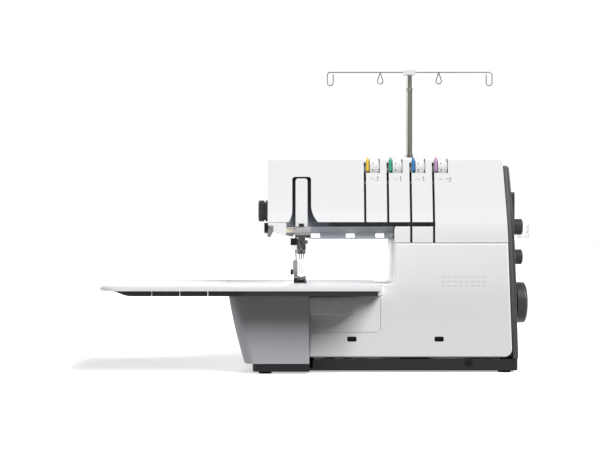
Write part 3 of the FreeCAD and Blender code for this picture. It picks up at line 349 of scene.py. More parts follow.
def vary_colour(material, shader, colour, spread, size, stretch=(1, 1, 1)):
    ramp = add_node(material, "ShaderNodeValToRGB")
    ramp.color_ramp.elements[0].position = 0.3
    ramp.color_ramp.elements[1].position = 0.7
    ramp.color_ramp.elements[0].color = scaled(colour, 1 - spread)
    ramp.color_ramp.elements[1].color = scaled(colour, 1 + spread)
    link(material, object_noise(material, size, stretch), ramp.inputs["Fac"])
    link(material, ramp.outputs["Color"], shader.inputs["Base Color"])


def vary_roughness(material, shader, middle, spread, size, stretch=(1, 1, 1)):
    span = add_node(material, "ShaderNodeMapRange")
    span.inputs["To Min"].default_value = middle - spread
    span.inputs["To Max"].default_value = middle + spread
    link(material, object_noise(material, size, stretch), span.inputs["Value"])
    link(material, span.outputs["Result"], shader.inputs["Roughness"])


def grain(material, shader, size, depth, stretch=(1, 1, 1)):
    bump = add_node(material, "ShaderNodeBump", Strength=0.6, Distance=depth)
    link(material, object_noise(material, size, stretch, 2.0), bump.inputs["Height"])
    link(material, bump.outputs["Normal"], shader.inputs["Normal"])


def moulded_surface(material, shader, roughness, gloss, grain_size=0.7 * MM, grain_depth=0.02 * MM):
    """The fine spark-eroded grain and slightly uneven gloss of moulded plastic."""
    vary_roughness(material, shader, roughness, 0.05, 4 * MM)
    grain(material, shader, grain_size, grain_depth)
    shader.inputs["Specular IOR Level"].default_value = gloss


def moulded(name, colour, roughness, gloss, grain_size=0.7 * MM, grain_depth=0.02 * MM,
            spread=0.02):
    """Moulded plastic of one colour, slightly mottled."""
    material, shader = new_material(name)
    vary_colour(material, shader, colour, spread, 60 * MM)
    moulded_surface(material, shader, roughness, gloss, grain_size, grain_depth)
    return material


def metal(name, colour, roughness, stretch, spread, line=0.5 * MM, depth=0.01 * MM):
    """Drawn, ground or cast metal, with its lines along the stretched axis."""
    material, shader = new_material(name)
    vary_colour(material, shader, colour, spread, line * 4, stretch)
    vary_roughness(material, shader, roughness, roughness * 0.3, line * 2, stretch)
    grain(material, shader, line, depth, stretch)
    shader.inputs["Metallic"].default_value = 1.0
    return material


def clear_plastic(name):
    material, shader = new_material(name)
    vary_roughness(material, shader, 0.06, 0.03, 12 * MM)
    grain(material, shader, 18 * MM, 0.03 * MM)
    shader.inputs["Base Color"].default_value = (0.84, 0.85, 0.86, 1)
    shader.inputs["Transmission Weight"].default_value = 0.85
    shader.inputs["IOR"].default_value = 1.2
    return material


def lit_window(name):
    material, shader = new_material(name)
    vary_colour(material, shader, (0.95, 0.97, 1.0), 0.03, 3 * MM)
    grain(material, shader, 1 * MM, 0.05 * MM)
    shader.inputs["Roughness"].default_value = 0.5
    shader.inputs["Emission Color"].default_value = (0.98, 0.99, 1.0, 1)
    shader.inputs["Emission Strength"].default_value = 0.9
    return material


def fade(material, axis, start, end):
    """0 at one place along an axis of the object and 1 at another."""
    place = add_node(material, "ShaderNodeTexCoord")
    split = add_node(material, "ShaderNodeSeparateXYZ")
    span = add_node(material, "ShaderNodeMapRange")
    span.inputs["From Min"].default_value = start
    span.inputs["From Max"].default_value = end
    link(material, place.outputs["Object"], split.inputs["Vector"])
    link(material, split.outputs[axis], span.inputs["Value"])
    return span.outputs["Result"]


def within(material, axis, low, high):
    """1 between two places along an axis of the object and 0 outside them."""
    edge = 0.1 * MM
    return combined(material, "MULTIPLY", fade(material, axis, low - edge, low),
                    fade(material, axis, high + edge, high))


def mix_colours(material, factor, first, second):
    """Runs from the first colour to the second, each a colour or another node's socket."""
    mix = add_node(material, "ShaderNodeMix", data_type="RGBA")
    link(material, factor, mix.inputs["Factor"])
    for socket, colour in ((mix.inputs[6], first), (mix.inputs[7], second)):
        if isinstance(colour, bpy.types.NodeSocket):
            link(material, colour, socket)
        else:
            socket.default_value = colour
    return mix.outputs[2]


def channel_lining(name, colour):
    """Slate lining that pales towards the flared foot of the take-up groove."""
    material, shader = new_material(name)
    flare = combined(material, "MULTIPLY", fade(material, "Z", 240 * MM, 204 * MM),
                     fade(material, "X", 3 * MM, 1 * MM))
    link(material, mix_colours(material, flare, colour, scaled(colour, 8.5)),
         shader.inputs["Base Color"])
    vary_roughness(material, shader, 0.45, 0.06, 4 * MM)
    grain(material, shader, 0.6 * MM, 0.02 * MM)
    shader.inputs["Specular IOR Level"].default_value = 0.3
    return material


def face_plastic(name, colour):
    """White casing plastic with painted light: a shade whiter at the upright foot of the face, which
    the lamps light less than the leaning face above it.
    """
    material, shader = new_material(name)
    # Painted light: the upright band below the lean is whitened
    foot = fade(material, "Z", FACE_FOOT_Z + 20 * MM, FACE_FOOT_Z)
    link(material, mix_colours(material, foot, colour, scaled(colour, 1.12)),
         shader.inputs["Base Color"])
    moulded_surface(material, shader, 0.48, 0.14)
    return material


def side_plastic(name, colour):
    """Dark side panel with a painted highlight: the narrow strip that faces forward is paler, most of
    all towards the top, and the rest of the panel is painted darker as shade.
    """
    material, shader = new_material(name)
    across_the_strip = (1.0, 0.0, 0.0465)
    place = add_node(material, "ShaderNodeTexCoord")
    across = add_node(material, "ShaderNodeVectorMath", operation="DOT_PRODUCT")
    across.inputs[1].default_value = across_the_strip
    link(material, place.outputs["Object"], across.inputs[0])
    strip = add_node(material, "ShaderNodeMapRange")
    strip.inputs["From Min"].default_value = 263.6 * MM
    strip.inputs["From Max"].default_value = 262.2 * MM
    link(material, across.outputs["Value"], strip.inputs["Value"])
    # Painted highlight along the forward strip, brighter towards the top
    pale = mix_colours(material, fade(material, "Z", 60 * MM, 220 * MM),
                       scaled(colour, 0.8), scaled(colour, 2.3))
    # Painted shade: the rest of the panel is darkened to half its colour
    link(material, mix_colours(material, strip.outputs["Result"], scaled(colour, 0.5), pale),
         shader.inputs["Base Color"])
    moulded_surface(material, shader, 0.42, 0.4, 0.8 * MM, 0.03 * MM)
    return material


def table_plastic(name, colour):
    """White table plastic with painted light: a shade whiter round the lower edge of the lip, which
    lies in shade.
    """
    material, shader = new_material(name)
    # Painted light on the lower edge of the lip
    edge = fade(material, "Z", 121 * MM, 117.5 * MM)
    link(material, mix_colours(material, edge, colour, scaled(colour, 1.45)),
         shader.inputs["Base Color"])
    moulded_surface(material, shader, 0.5, 0.12)
    return material


def rail_plastic(name, colour):
    """Dark rails with painted light, paler beside the bed where more light falls on them."""
    material, shader = new_material(name)
    # Painted light on the rails beside the bed
    beside = fade(material, "X", -122 * MM, -104 * MM)
    link(material, mix_colours(material, beside, colour, scaled(colour, 3.2)),
         shader.inputs["Base Color"])
    moulded_surface(material, shader, 0.55, 0.25, 0.8 * MM, 0.03 * MM)
    return material


def pocketed_cover(name, colour):
    """White casing plastic with painted light and shade: painted whiter along the top, and painted
    shade dark inside the two hook pockets.
    """
    material, shader = new_material(name)
    left, right = (within(material, "X", low, high) for low, high in HOOK_SLOTS_X)
    outline = combined(material, "MULTIPLY", combined(material, "ADD", left, right),
                       within(material, "Z", *HOOK_SLOTS_Z))
    # Painted shade inside the two hook pockets, deeper than the face
    inside = combined(material, "MULTIPLY", outline,
                      fade(material, "Y", FACE_Y + 0.2 * MM, FACE_Y + 0.6 * MM))
    # Painted light: whiter towards the top of the cover
    white = mix_colours(material, fade(material, "Z", 100 * MM, 170 * MM),
                        colour, scaled(colour, 1.14))
    link(material, mix_colours(material, inside, white, scaled(colour, 0.08)),
         shader.inputs["Base Color"])
    moulded_surface(material, shader, 0.48, 0.14)
    return material


def underside_plastic(name, colour, painted_light_colour):
    """Pale plastic below the arm with painted light and shade: painted whiter than the casing round
    the bars and the cheek, and painted shade on the slope above the lamps.
    """
    material, shader = new_material(name)
    bars_end, lamps_start = -24 * MM, -22 * MM
    # Painted shade on the slope below the front edge of the face
    slope = combined(material, "MULTIPLY", fade(material, "Z", 193.8 * MM, 194.4 * MM),
                     fade(material, "X", bars_end, lamps_start))
    side = combined(material, "SUBTRACT", fade(material, "X", lamps_start, bars_end), slope)
    span = add_node(material, "ShaderNodeMapRange")
    span.inputs["From Min"].default_value = -1.0
    link(material, side, span.inputs["Value"])
    ramp = add_node(material, "ShaderNodeValToRGB")
    # Painted shade on the slope, the plain pale grey, then painted light round the bars
    ramp.color_ramp.elements[0].color = scaled(colour, 0.70)
    ramp.color_ramp.elements[1].color = painted_light_colour
    ramp.color_ramp.elements.new(0.5).color = colour
    link(material, span.outputs["Result"], ramp.inputs["Fac"])
    link(material, ramp.outputs["Color"], shader.inputs["Base Color"])
    moulded_surface(material, shader, 0.5, 0.3)
    return material


def board_finish(name):
    """Lacquered circuit board with copper runs showing through."""
    material, shader = new_material(name)
    place = add_node(material, "ShaderNodeTexCoord")
    runs = add_node(material, "ShaderNodeTexBrick", Scale=160.0)
    runs.inputs["Color1"].default_value = (0.03, 0.20, 0.11, 1)
    runs.inputs["Color2"].default_value = (0.025, 0.16, 0.09, 1)
    runs.inputs["Mortar"].default_value = (0.10, 0.34, 0.16, 1)
    turn = add_node(material, "ShaderNodeMapping")
    turn.inputs["Rotation"].default_value = (math.pi / 2, 0, 0)
    link(material, place.outputs["Object"], turn.inputs["Vector"])
    link(material, turn.outputs["Vector"], runs.inputs["Vector"])
    link(material, runs.outputs["Color"], shader.inputs["Base Color"])
    vary_roughness(material, shader, 0.35, 0.08, 5 * MM)
    return material


FINISHES = {}

# Nodes with a finish of their own in place of their material slot's
OWN_FINISHES = {
    "front_housing": "face_white", "front_cover": "cover_white", "arm_underside": "underside_grey",
    "thread_channel": "channel", "right_panel": "side_grey", "hinge_pins": "black_trim",
    "table_top": "table_white", "throat_cover": "table_white", "table_underframe": "rail_grey",
    "handwheel": "knob_black", "length_knob": "knob_black", "differential_knob": "knob_black",
    "threading_lever": "knob_black", "foot_lifter": "lifter_grey", "presser_bar": "polished",
    "needles": "needle_steel", "needle_clamp": "clamp_steel", "foot_holder": "holder_steel",
    "mast_lower": "mast_steel", "mast_middle": "mast_steel", "mast_upper": "mast_steel",
    "guide_wires": "wire_steel",
}


def make_finishes():
    tint = colours()
    dark = tuple(tint.panel)
    black = (0.010, 0.010, 0.011, 1)
    FINISHES.update({
        "white_casing": moulded("white_casing", tint.casing, 0.48, 0.14),
        "bed_white": moulded("bed_white", tint.bed, 0.5, 0.14),
        "charcoal": moulded("charcoal", tint.base, 0.62, 0.25, 1.0 * MM, 0.05 * MM, 0.15),
        "panel_grey": moulded("panel_grey", dark, 0.42, 0.4, 0.8 * MM, 0.03 * MM, 0.1),
        "black_trim": moulded("black_trim", black, 0.5, 0.3, 0.8 * MM, 0.03 * MM, 0.15),
        "foot_rubber": moulded("foot_rubber", black, 0.85, 0.15, 1.2 * MM, 0.08 * MM, 0.2),
        "cast_alloy": metal("cast_alloy", (0.42, 0.43, 0.45), 0.5, (1, 1, 1), 0.12,
                            1.5 * MM, 0.08 * MM),
        "bronze": metal("bronze", (0.55, 0.49, 0.38), 0.38, (1, 1, 0.2), 0.15),
        "steel": metal("steel", (0.42, 0.42, 0.43), 0.32, (0.1, 1, 1), 0.18),
        "bright_steel": metal("bright_steel", (0.52, 0.50, 0.48), 0.18, (1, 1, 0.02), 0.45,
                              0.7 * MM),
        "foot_steel": metal("foot_steel", (0.20, 0.20, 0.205), 0.34, (1, 0.1, 1), 0.25),
        "belt_rubber": moulded("belt_rubber", black, 0.8, 0.2, 0.8 * MM, 0.06 * MM, 0.2),
        "board_green": board_finish("board_green"),
        "lamp_window": lit_window("lamp_window"),
        "thread_tab": moulded("thread_tab", tint.yellow, 0.35, 0.45),
        "dial_white": moulded("dial_white", tint.casing, 0.4, 0.35),
        "clear_tray": clear_plastic("clear_tray"),
        "pin_grey": moulded("pin_grey", (0.58, 0.58, 0.59, 1), 0.5, 0.3),
        "motor_grey": metal("motor_grey", (0.10, 0.10, 0.11), 0.42, (0.15, 1, 1), 0.2),
        "channel": channel_lining("channel", tuple(tint.channel)),
        "table_white": table_plastic("table_white", tuple(tint.table)),
        "rail_grey": rail_plastic("rail_grey", tuple(tint.rail)),
        "cover_white": pocketed_cover("cover_white", tuple(tint.casing)),
        "face_white": face_plastic("face_white", tuple(tint.casing)),
        "side_grey": side_plastic("side_grey", dark),
        # Painted light: the casing white raised by a tenth round the bars below the arm
        "underside_grey": underside_plastic("underside_grey", tuple(tint.chin),
                                            scaled(tint.casing, 1.1)),
        "knob_black": moulded("knob_black", tint.knob, 0.42, 0.4, 0.8 * MM, 0.03 * MM, 0.1),
        "lifter_grey": moulded("lifter_grey", (0.60, 0.60, 0.605, 1), 0.5, 0.3),
        "mast_steel": metal("mast_steel", (0.19, 0.178, 0.165), 0.26, (1, 1, 0.02), 0.35, 0.9 * MM),
        "polished": metal("polished", (0.70, 0.69, 0.68), 0.2, (1, 1, 0.05), 0.1),
        "needle_steel": metal("needle_steel", (0.26, 0.26, 0.26), 0.25, (1, 1, 0.05), 0.2),
        "cream": moulded("cream", (0.66, 0.60, 0.50, 1), 0.5, 0.3),
        "wire_steel": metal("wire_steel", (0.17, 0.168, 0.16), 0.35, (0.05, 1, 1), 0.15, 0.9 * MM),
        "clamp_steel": metal("clamp_steel", (0.07, 0.07, 0.072), 0.22, (1, 1, 0.6), 0.85, 0.7 * MM),
        "holder_steel": metal("holder_steel", (0.31, 0.31, 0.315), 0.34, (1, 1, 0.1), 0.2),
        "grey_print": moulded("grey_print", (0.28, 0.28, 0.29, 1), 0.6, 0.2),
        "dark_print": moulded("dark_print", (0.05, 0.05, 0.055, 1), 0.6, 0.2),
        "pale_print": moulded("pale_print", (0.55, 0.55, 0.56, 1), 0.6, 0.2),
        "white_print": moulded("white_print", (0.75, 0.75, 0.75, 1), 0.6, 0.2),
    })


# Operators

class SEWING_OT_finishes(bpy.types.Operator):
    """Give every CAD node its own finish or that of its material slot"""
    bl_idname = "sewing.finishes"
    bl_label = "Finishes"

    def execute(self, context):
        make_finishes()
        for part in frame["record"]["subparts"]:
            node = frame["nodes"][part["node"]]
            finish = OWN_FINISHES.get(part["node"], part["material_slot"])
            node.data.materials.clear()
            node.data.materials.append(FINISHES[finish])
        return {"FINISHED"}


class SEWING_OT_thread_tabs(bpy.types.Operator):
    """Model the four coloured thread tabs with their finger ridges"""
    bl_idname = "sewing.thread_tabs"
    bl_label = "Thread tabs"

    def execute(self, context):
        low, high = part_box("thread_tabs")
        width = sizes().tab_width
        middle_z = (low.z + high.z) / 2
        length = (high.z - low.z) / math.cos(LEAN_ANGLE) - 1.6 * MM
        depth = 6.0 * MM
        proud = 1.2 * MM
        gap = 1.45 * MM
        ridge_pitch = 2.2 * MM
        for dial, colour_name in zip(DIALS, TAB_NAMES):
            centre_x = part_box(dial)[0].x - gap - width / 2
            tab = block("thread_tab_" + colour_name, (0, 0, 0), (width, depth, length))
            self.point(tab, length)
            self.ridge(tab, length, ridge_pitch)
            soften(tab, 0.25 * MM)
            tab.rotation_euler = (-LEAN_ANGLE, 0, 0)
            tab.location = (centre_x, face_y(middle_z) - proud + depth / 2, middle_z)
            settle(tab, "thread_tab_" + colour_name)
            finish = moulded("tab_" + colour_name, getattr(colours(), colour_name), 0.38, 0.4)
            finish_piece(tab, "machine", finish)
            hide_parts("thread_tabs")
        return {"FINISHED"}

    def point(self, tab, length):
        """Narrows the top end of the tab."""
        taper = 5.0 * MM
        choose_faces(tab, every_face)
        bpy.ops.mesh.bisect(plane_co=(0, 0, length / 2 - taper), plane_no=(0, 0, 1))
        choose_faces(tab, facing(UP))
        bpy.ops.transform.resize(value=(0.4, 0.7, 1), center_override=(0, 0, length / 2))
        bpy.ops.object.mode_set(mode="OBJECT")

    def ridge(self, tab, length, pitch):
        """Cuts the front into strips and sinks every other one."""
        rim, depth = 0.3 * MM, 0.4 * MM
        count = int(length / pitch)
        for step in range(1, count):
            height = -length / 2 + step * length / count
            choose_faces(tab, every_face)
            bpy.ops.mesh.bisect(plane_co=(0, 0, height), plane_no=(0, 0, 1))
            bpy.ops.object.mode_set(mode="OBJECT")

        def sunk(face):
            strip = int((face.center.z + length / 2) / (length / count))
            return facing(FORWARD)(face) and strip % 2 == 1

        choose_faces(tab, sunk)
        bpy.ops.mesh.inset(thickness=rim, use_individual=True)
        bpy.ops.mesh.extrude_region_shrink_fatten(TRANSFORM_OT_shrink_fatten={"value": -depth})
        bpy.ops.object.mode_set(mode="OBJECT")


class SEWING_OT_dial_numbers(bpy.types.Operator):
    """Print plain numbers round the rims of the tension dials"""
    bl_idname = "sewing.dial_numbers"
    bl_label = "Dial numbers"

    def execute(self, context):
        thickness = sizes().print_height
        height = sizes().number_height
        first_angle, pitch = 24, 36
        for index, dial in enumerate(DIALS, 1):
            low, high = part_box(dial)
            centre = (low + high) / 2
            radius = (high.z - low.z) / 2
            digits = []
            for value in range(10):
                angle = math.radians(first_angle + pitch * value)
                place = (low.x + 4.4 * MM, centre.y - radius * math.cos(angle),
                         centre.z + radius * math.sin(angle))
                turn = (math.pi / 2 - angle, 0, 0)
                digits.append(plain_number(str(value), place, turn, height, thickness))
            numbers = join_pieces(f"tension_numbers_{index}", digits)
            finish_piece(numbers, f"tension_{index}", FINISHES["dark_print"])
        return {"FINISHED"}


class SEWING_OT_path_marks(bpy.types.Operator):
    """Print a small needle or hook sign under each tension dial"""
    bl_idname = "sewing.path_marks"
    bl_label = "Thread path marks"

    def execute(self, context):
        # Each stroke in millimetres: how far right and up of its sign it is, its width and height
        path_lines = ((-7.8, 0.6, 6.0, 0.6), (-6.8, -1.0, 6.5, 0.6))
        hook = ((3.0, 0.4, 7.0, 0.9), (6.0, -0.4, 0.9, 6.4), (4.6, -3.2, 3.4, 0.9))
        for index, dial in enumerate(DIALS, 1):
            sign_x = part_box(dial)[0].x + 11.0 * MM
            needle = ((0.0, 0.0, 0.9, 6.4), (0.0, 2.4, 2.2, 1.8), ((index - 2) * 2.4, -2.4, 1.4, 0.7))
            faint = self.strokes(f"path_lines_{index}", sign_x, path_lines)
            finish_piece(faint, "machine", FINISHES["pale_print"])
            sign = self.strokes(f"path_sign_{index}", sign_x, needle if index < 4 else hook)
            finish_piece(sign, "machine", FINISHES["grey_print"])
        return {"FINISHED"}

    def strokes(self, name, sign_x, places):
        thickness = sizes().print_height
        marks = []
        for right, up, width, height in places:
            z = SIGNS_Z + up * MM
            mark = block("stroke", (sign_x + right * MM, face_y(z), z),
                         (width * MM, thickness * 2, height * MM), (-LEAN_ANGLE, 0, 0))
            soften(mark, thickness * 0.5, 1)
            marks.append(mark)
        return join_pieces(name, marks)


class SEWING_OT_stitch_sign(bpy.types.Operator):
    """Print a plain row-of-stitches sign on the front cover"""
    bl_idname = "sewing.stitch_sign"
    bl_label = "Stitch sign"

    def execute(self, context):
        thickness = sizes().print_height
        dash, width = 5.0 * MM, 0.8 * MM
        pitch = 8.0 * MM
        start_x = 160 * MM
        rows = (132.0 * MM, 126.0 * MM, 120.0 * MM)
        marks = []
        for z in rows:
            for step in range(8):
                place = (start_x + step * pitch, FACE_Y, z)
                mark = block("stitch", place, (dash, thickness * 2, width))
                soften(mark, thickness * 0.5, 1)
                marks.append(mark)
        sign = join_pieces("stitch_sign", marks)
        finish_piece(sign, "cover", FINISHES["pale_print"])
        return {"FINISHED"}


class SEWING_OT_needle_fittings(bpy.types.Operator):
    """Model the socket screws and the thread guide on the needle clamp"""
    bl_idname = "sewing.needle_fittings"
    bl_label = "Needle fittings"

    def execute(self, context):
        low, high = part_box("needle_clamp")
        middle = (low + high) / 2
        screws = ((-3.6 * MM, 167.5 * MM), (0.0, 170.5 * MM), (3.6 * MM, 167.5 * MM))
        for index, (step, z) in enumerate(screws, 1):
            place = (middle.x + step, low.y - 0.2 * MM, z)
            screw = rod(f"needle_screw_{index}", place, 1.75 * MM, 1.4 * MM, "Y", 24)
            sink_faces(screw, facing(FORWARD), 0.7 * MM, 0.8 * MM)
            soften(screw, 0.2 * MM)
            finish_piece(screw, "needle_carrier", FINISHES["foot_steel"])
        place = (high.x + 1.2 * MM, middle.y, 180 * MM)
        side = rod("clamp_screw", place, 2.6 * MM, 3.4 * MM, "X", 24)
        soften(side, 0.4 * MM)
        finish_piece(side, "needle_carrier", FINISHES["foot_steel"])
        guide = self.thread_guide(middle, low)
        finish_piece(guide, "needle_carrier", FINISHES["bright_steel"])
        return {"FINISHED"}

    def thread_guide(self, middle, low):
        """Bent wire with three eyes in front of the clamp."""
        z = 176 * MM
        eyes = [ring("eye", (middle.x + step * MM, low.y - 0.6 * MM, z), 1.5 * MM, 0.35 * MM, 24)
                for step in (-3.4, 0.0, 3.4)]
        rail = rod("rail", (middle.x, low.y + 0.8 * MM, z), 0.4 * MM, 10 * MM, "X", 12)
        soften(rail, 0.1 * MM)
        return join_pieces("needle_thread_guide", eyes + [rail])


class SEWING_OT_presser_fittings(bpy.types.Operator):
    """Model the black guide block and the knurled thumbscrew of the presser bar"""
    bl_idname = "sewing.presser_fittings"
    bl_label = "Presser fittings"

    def execute(self, context):
        holder_low, holder_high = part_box("foot_holder")
        middle_y = (holder_low.y + holder_high.y) / 2
        guide = block("presser_block", (-46.6 * MM, middle_y, 180.2 * MM),
                      (9.4 * MM, 13 * MM, 10 * MM))
        sink_faces(guide, facing(FORWARD), 1.6 * MM, 0.8 * MM)
        soften(guide, 0.8 * MM, 3)
        finish_piece(guide, "presser", FINISHES["black_trim"])
        head = rod("thumbscrew", (holder_low.x + 1.5 * MM, middle_y, 137 * MM),
                   3.6 * MM, 3.4 * MM, "X", 40)
        choose_faces(head, lambda face: abs(face.normal.x) < 0.5 and face.index % 2 == 0)
        bpy.ops.mesh.extrude_region_shrink_fatten(TRANSFORM_OT_shrink_fatten={"value": 0.35 * MM})
        bpy.ops.object.mode_set(mode="OBJECT")
        sink_faces(head, facing(LEFT), 1.4 * MM, 0.5 * MM)
        soften(head, 0.15 * MM)
        finish_piece(head, "presser", FINISHES["black_trim"])
        return {"FINISHED"}


class SEWING_OT_presser_spring(bpy.types.Operator):
    """Wind the presser spring as a coil of fixed length; the real spring shortens as the foot is
    raised
    """
    bl_idname = "sewing.presser_spring"
    bl_label = "Presser spring"

    def execute(self, context):
        low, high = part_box("presser_spring")
        middle = (low + high) / 2
        wire = 0.7 * MM
        turns, steps = 6, 24
        clear_selection()
        bpy.ops.mesh.primitive_circle_add(
            vertices=12, radius=wire, location=(middle.x, middle.y, low.z + wire),
            rotation=(math.pi / 2, 0, 0))
        spring = bpy.context.object
        bpy.ops.object.transform_apply(location=False, rotation=True, scale=False)
        bpy.ops.object.mode_set(mode="EDIT")
        bpy.ops.mesh.select_all(action="SELECT")
        bpy.ops.transform.translate(value=((high.x - low.x) / 2 - wire, 0, 0))
        bpy.ops.object.mode_set(mode="OBJECT")
        coil = spring.modifiers.new("coil", "SCREW")
        coil.screw_offset = (high.z - low.z - 2 * wire) / turns
        coil.iterations = turns
        coil.steps = steps
        coil.render_steps = steps
        bpy.ops.object.modifier_apply(modifier=coil.name)
        bpy.ops.object.mode_set(mode="EDIT")
        bpy.ops.mesh.select_all(action="SELECT")
        bpy.ops.mesh.fill_holes(sides=0)
        bpy.ops.mesh.select_all(action="SELECT")
        bpy.ops.mesh.normals_make_consistent(inside=False)
        bpy.ops.object.mode_set(mode="OBJECT")
        settle(spring, "spring_coil")
        finish_piece(spring, "machine", FINISHES["steel"])
        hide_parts("presser_spring")
        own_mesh(spring)
        return {"FINISHED"}


class SEWING_OT_bar_guard(bpy.types.Operator):
    """Model the thread guard in the foot of the take-up cover and the cream shield beside it"""
    bl_idname = "sewing.bar_guard"
    bl_label = "Thread guard"

    def execute(self, context):
        low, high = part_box("take_up_cover")
        middle_x = (low.x + high.x) / 2
        guard = block("thread_guard", (middle_x, FACE_Y + 2.2 * MM, low.z + 1.5 * MM),
                      (6.6 * MM, 4.6 * MM, 4.6 * MM))
        sink_faces(guard, facing(FORWARD), 1.0 * MM, 0.6 * MM)
        soften(guard, 0.5 * MM, 3)
        finish_piece(guard, "machine", FINISHES["black_trim"])
        shield = block("bar_shield", (-51.8 * MM, FACE_Y + 8 * MM, 197 * MM),
                       (10.4 * MM, 11 * MM, 7.6 * MM))
        sink_faces(shield, facing(FORWARD), 1.2 * MM, 0.5 * MM)
        soften(shield, 0.6 * MM, 3)
        finish_piece(shield, "machine", FINISHES["cream"])
        return {"FINISHED"}


class SEWING_OT_mast_collars(bpy.types.Operator):
    """Model the rolled collars where the mast tubes meet"""
    bl_idname = "sewing.mast_collars"
    bl_label = "Mast collars"

    def execute(self, context):
        for node, body in (("mast_lower", "machine"), ("mast_middle", "mast_mid")):
            low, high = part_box(node)
            middle = (low + high) / 2
            radius = (high.x - low.x) / 2 + 0.55 * MM
            length = 4.0 * MM
            place = (middle.x, middle.y, high.z - length / 2)
            collar = rod("collar_" + node, place, radius, length, "Z", 40, "NOTHING")
            select_only(collar)
            wall = collar.modifiers.new("wall", "SOLIDIFY")
            wall.thickness = 0.5 * MM
            wall.offset = -1
            bpy.ops.object.modifier_apply(modifier=wall.name)
            soften(collar, 0.18 * MM)
            finish_piece(collar, body, FINISHES["mast_steel"])
        return {"FINISHED"}


class SEWING_OT_plate_screws(bpy.types.Operator):
    """Model the slotted screws of the needle plate"""
    bl_idname = "sewing.plate_screws"
    bl_label = "Needle plate screws"

    def execute(self, context):
        low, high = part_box("needle_plate")
        for index, y in enumerate((low.y + 8 * MM, high.y - 8 * MM), 1):
            x = low.x + 5 * MM
            screw = rod(f"plate_screw_{index}", (x, y, high.z - 0.2 * MM), 2.6 * MM, 0.8 * MM, "Z", 32)
            soften(screw, 0.2 * MM)
            cut = block("cut", (x, y, high.z + 0.4 * MM), (0.7 * MM, 6 * MM, 0.9 * MM))
            select_only(screw)
            slot = screw.modifiers.new("slot", "BOOLEAN")
            slot.operation = "DIFFERENCE"
            slot.object = cut
            bpy.ops.object.modifier_apply(modifier=slot.name)
            bpy.data.objects.remove(cut)
            finish_piece(screw, "machine", FINISHES["steel"])
        return {"FINISHED"}


class SEWING_OT_side_scales(bpy.types.Operator):
    """Print plain scales round the two knobs, pointers on them and marks on the switch"""
    bl_idname = "sewing.side_scales"
    bl_label = "Side scales"

    def execute(self, context):
        thickness = sizes().print_height
        for knob, body, values in (
                ("length_knob", "length_control", ("1", "2", "3", "4")),
                ("differential_knob", "differential_control", ("0.7", "1", "2"))):
            low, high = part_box(knob)
            middle = (low + high) / 2
            radius = (high.z - low.z) / 2
            scale = join_pieces("scale_" + knob, self.scale_marks(middle, radius, values, thickness))
            finish_piece(scale, "machine", FINISHES["white_print"])
            place = (high.x - 0.02 * MM, middle.y, middle.z + radius * 0.45)
            pointer = block("pointer_" + knob, place, (0.2 * MM, 1.0 * MM, radius * 0.5))
            soften(pointer, 0.05 * MM, 1)
            finish_piece(pointer, body, FINISHES["white_print"])
        self.switch_marks(thickness)
        return {"FINISHED"}

    def scale_marks(self, middle, radius, values, thickness):
        """Ticks round a knob, with numbers outside them."""
        facing_right = (math.pi / 2, 0, math.pi / 2)
        tick_reach, number_reach = radius + 2.6 * MM, radius + 6.6 * MM
        tick_angles = [math.radians(-120 + 20 * step) for step in range(13)]
        marks = []
        for angle in tick_angles:
            place = self.panel_place(middle, tick_reach, angle)
            tick = block("tick", place, (thickness * 2, 0.5 * MM, 2.0 * MM), (-angle, 0, 0))
            soften(tick, thickness * 0.5, 1)
            marks.append(tick)
        for step, text in enumerate(values):
            angle = math.radians(-75 + 150 * step / (len(values) - 1))
            place = self.panel_place(middle, number_reach, angle)
            marks.append(plain_number(text, place, facing_right, sizes().number_height, thickness))
        return marks

    def panel_place(self, middle, reach, angle):
        y = middle.y + reach * math.sin(angle)
        z = middle.z + reach * math.cos(angle)
        return right_surface("right_panel", y, z)[0]

    def switch_marks(self, thickness):
        low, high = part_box("power_switch")
        middle = (low + high) / 2
        off_centre = 5 * MM
        upper, upper_normal = right_surface("power_switch", middle.y, middle.z + off_centre)
        on_mark = block("on_mark", upper, (thickness * 2, 0.8 * MM, 4.0 * MM),
                        (0, -math.asin(upper_normal.z), 0))
        soften(on_mark, thickness * 0.5, 1)
        lower, lower_normal = right_surface("power_switch", middle.y, middle.z - off_centre)
        off_mark = ring("off_mark", lower, 1.7 * MM, 0.35 * MM, 32,
                        (0, math.pi / 2 - math.asin(lower_normal.z), 0))
        marks = join_pieces("switch_marks", [on_mark, off_mark])
        finish_piece(marks, "switch", FINISHES["white_print"])


class SEWING_OT_wheel_mark(bpy.types.Operator):
    """Model the index mark on the handwheel's rim"""
    bl_idname = "sewing.wheel_mark"
    bl_label = "Handwheel mark"

    def execute(self, context):
        low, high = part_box("handwheel")
        middle = (low + high) / 2
        radius = (high.z - low.z) / 2
        mark = block("handwheel_mark", (middle.x, middle.y, middle.z + radius),
                     (9 * MM, 1.2 * MM, 0.2 * MM))
        soften(mark, 0.06 * MM, 1)
        finish_piece(mark, "main_drive", FINISHES["white_print"])
        return {"FINISHED"}


class SEWING_OT_base_screws(bpy.types.Operator):
    """Model the screws under the base pan"""
    bl_idname = "sewing.base_screws"
    bl_label = "Base screws"

    def execute(self, context):
        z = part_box("base_pan")[0].z - 0.5 * MM
        places = ((0.22, -0.05), (0.22, 0.02), (0.11, -0.06), (0.0, -0.05))
        for index, (x, y) in enumerate(places, 1):
            screw = rod(f"base_screw_{index}", (x, y, z), 3.4 * MM, 1.4 * MM, "Z", 28)
            sink_faces(screw, facing(DOWN), 1.6 * MM, 0.7 * MM)
            soften(screw, 0.3 * MM)
            finish_piece(screw, "machine", FINISHES["steel"])
        return {"FINISHED"}


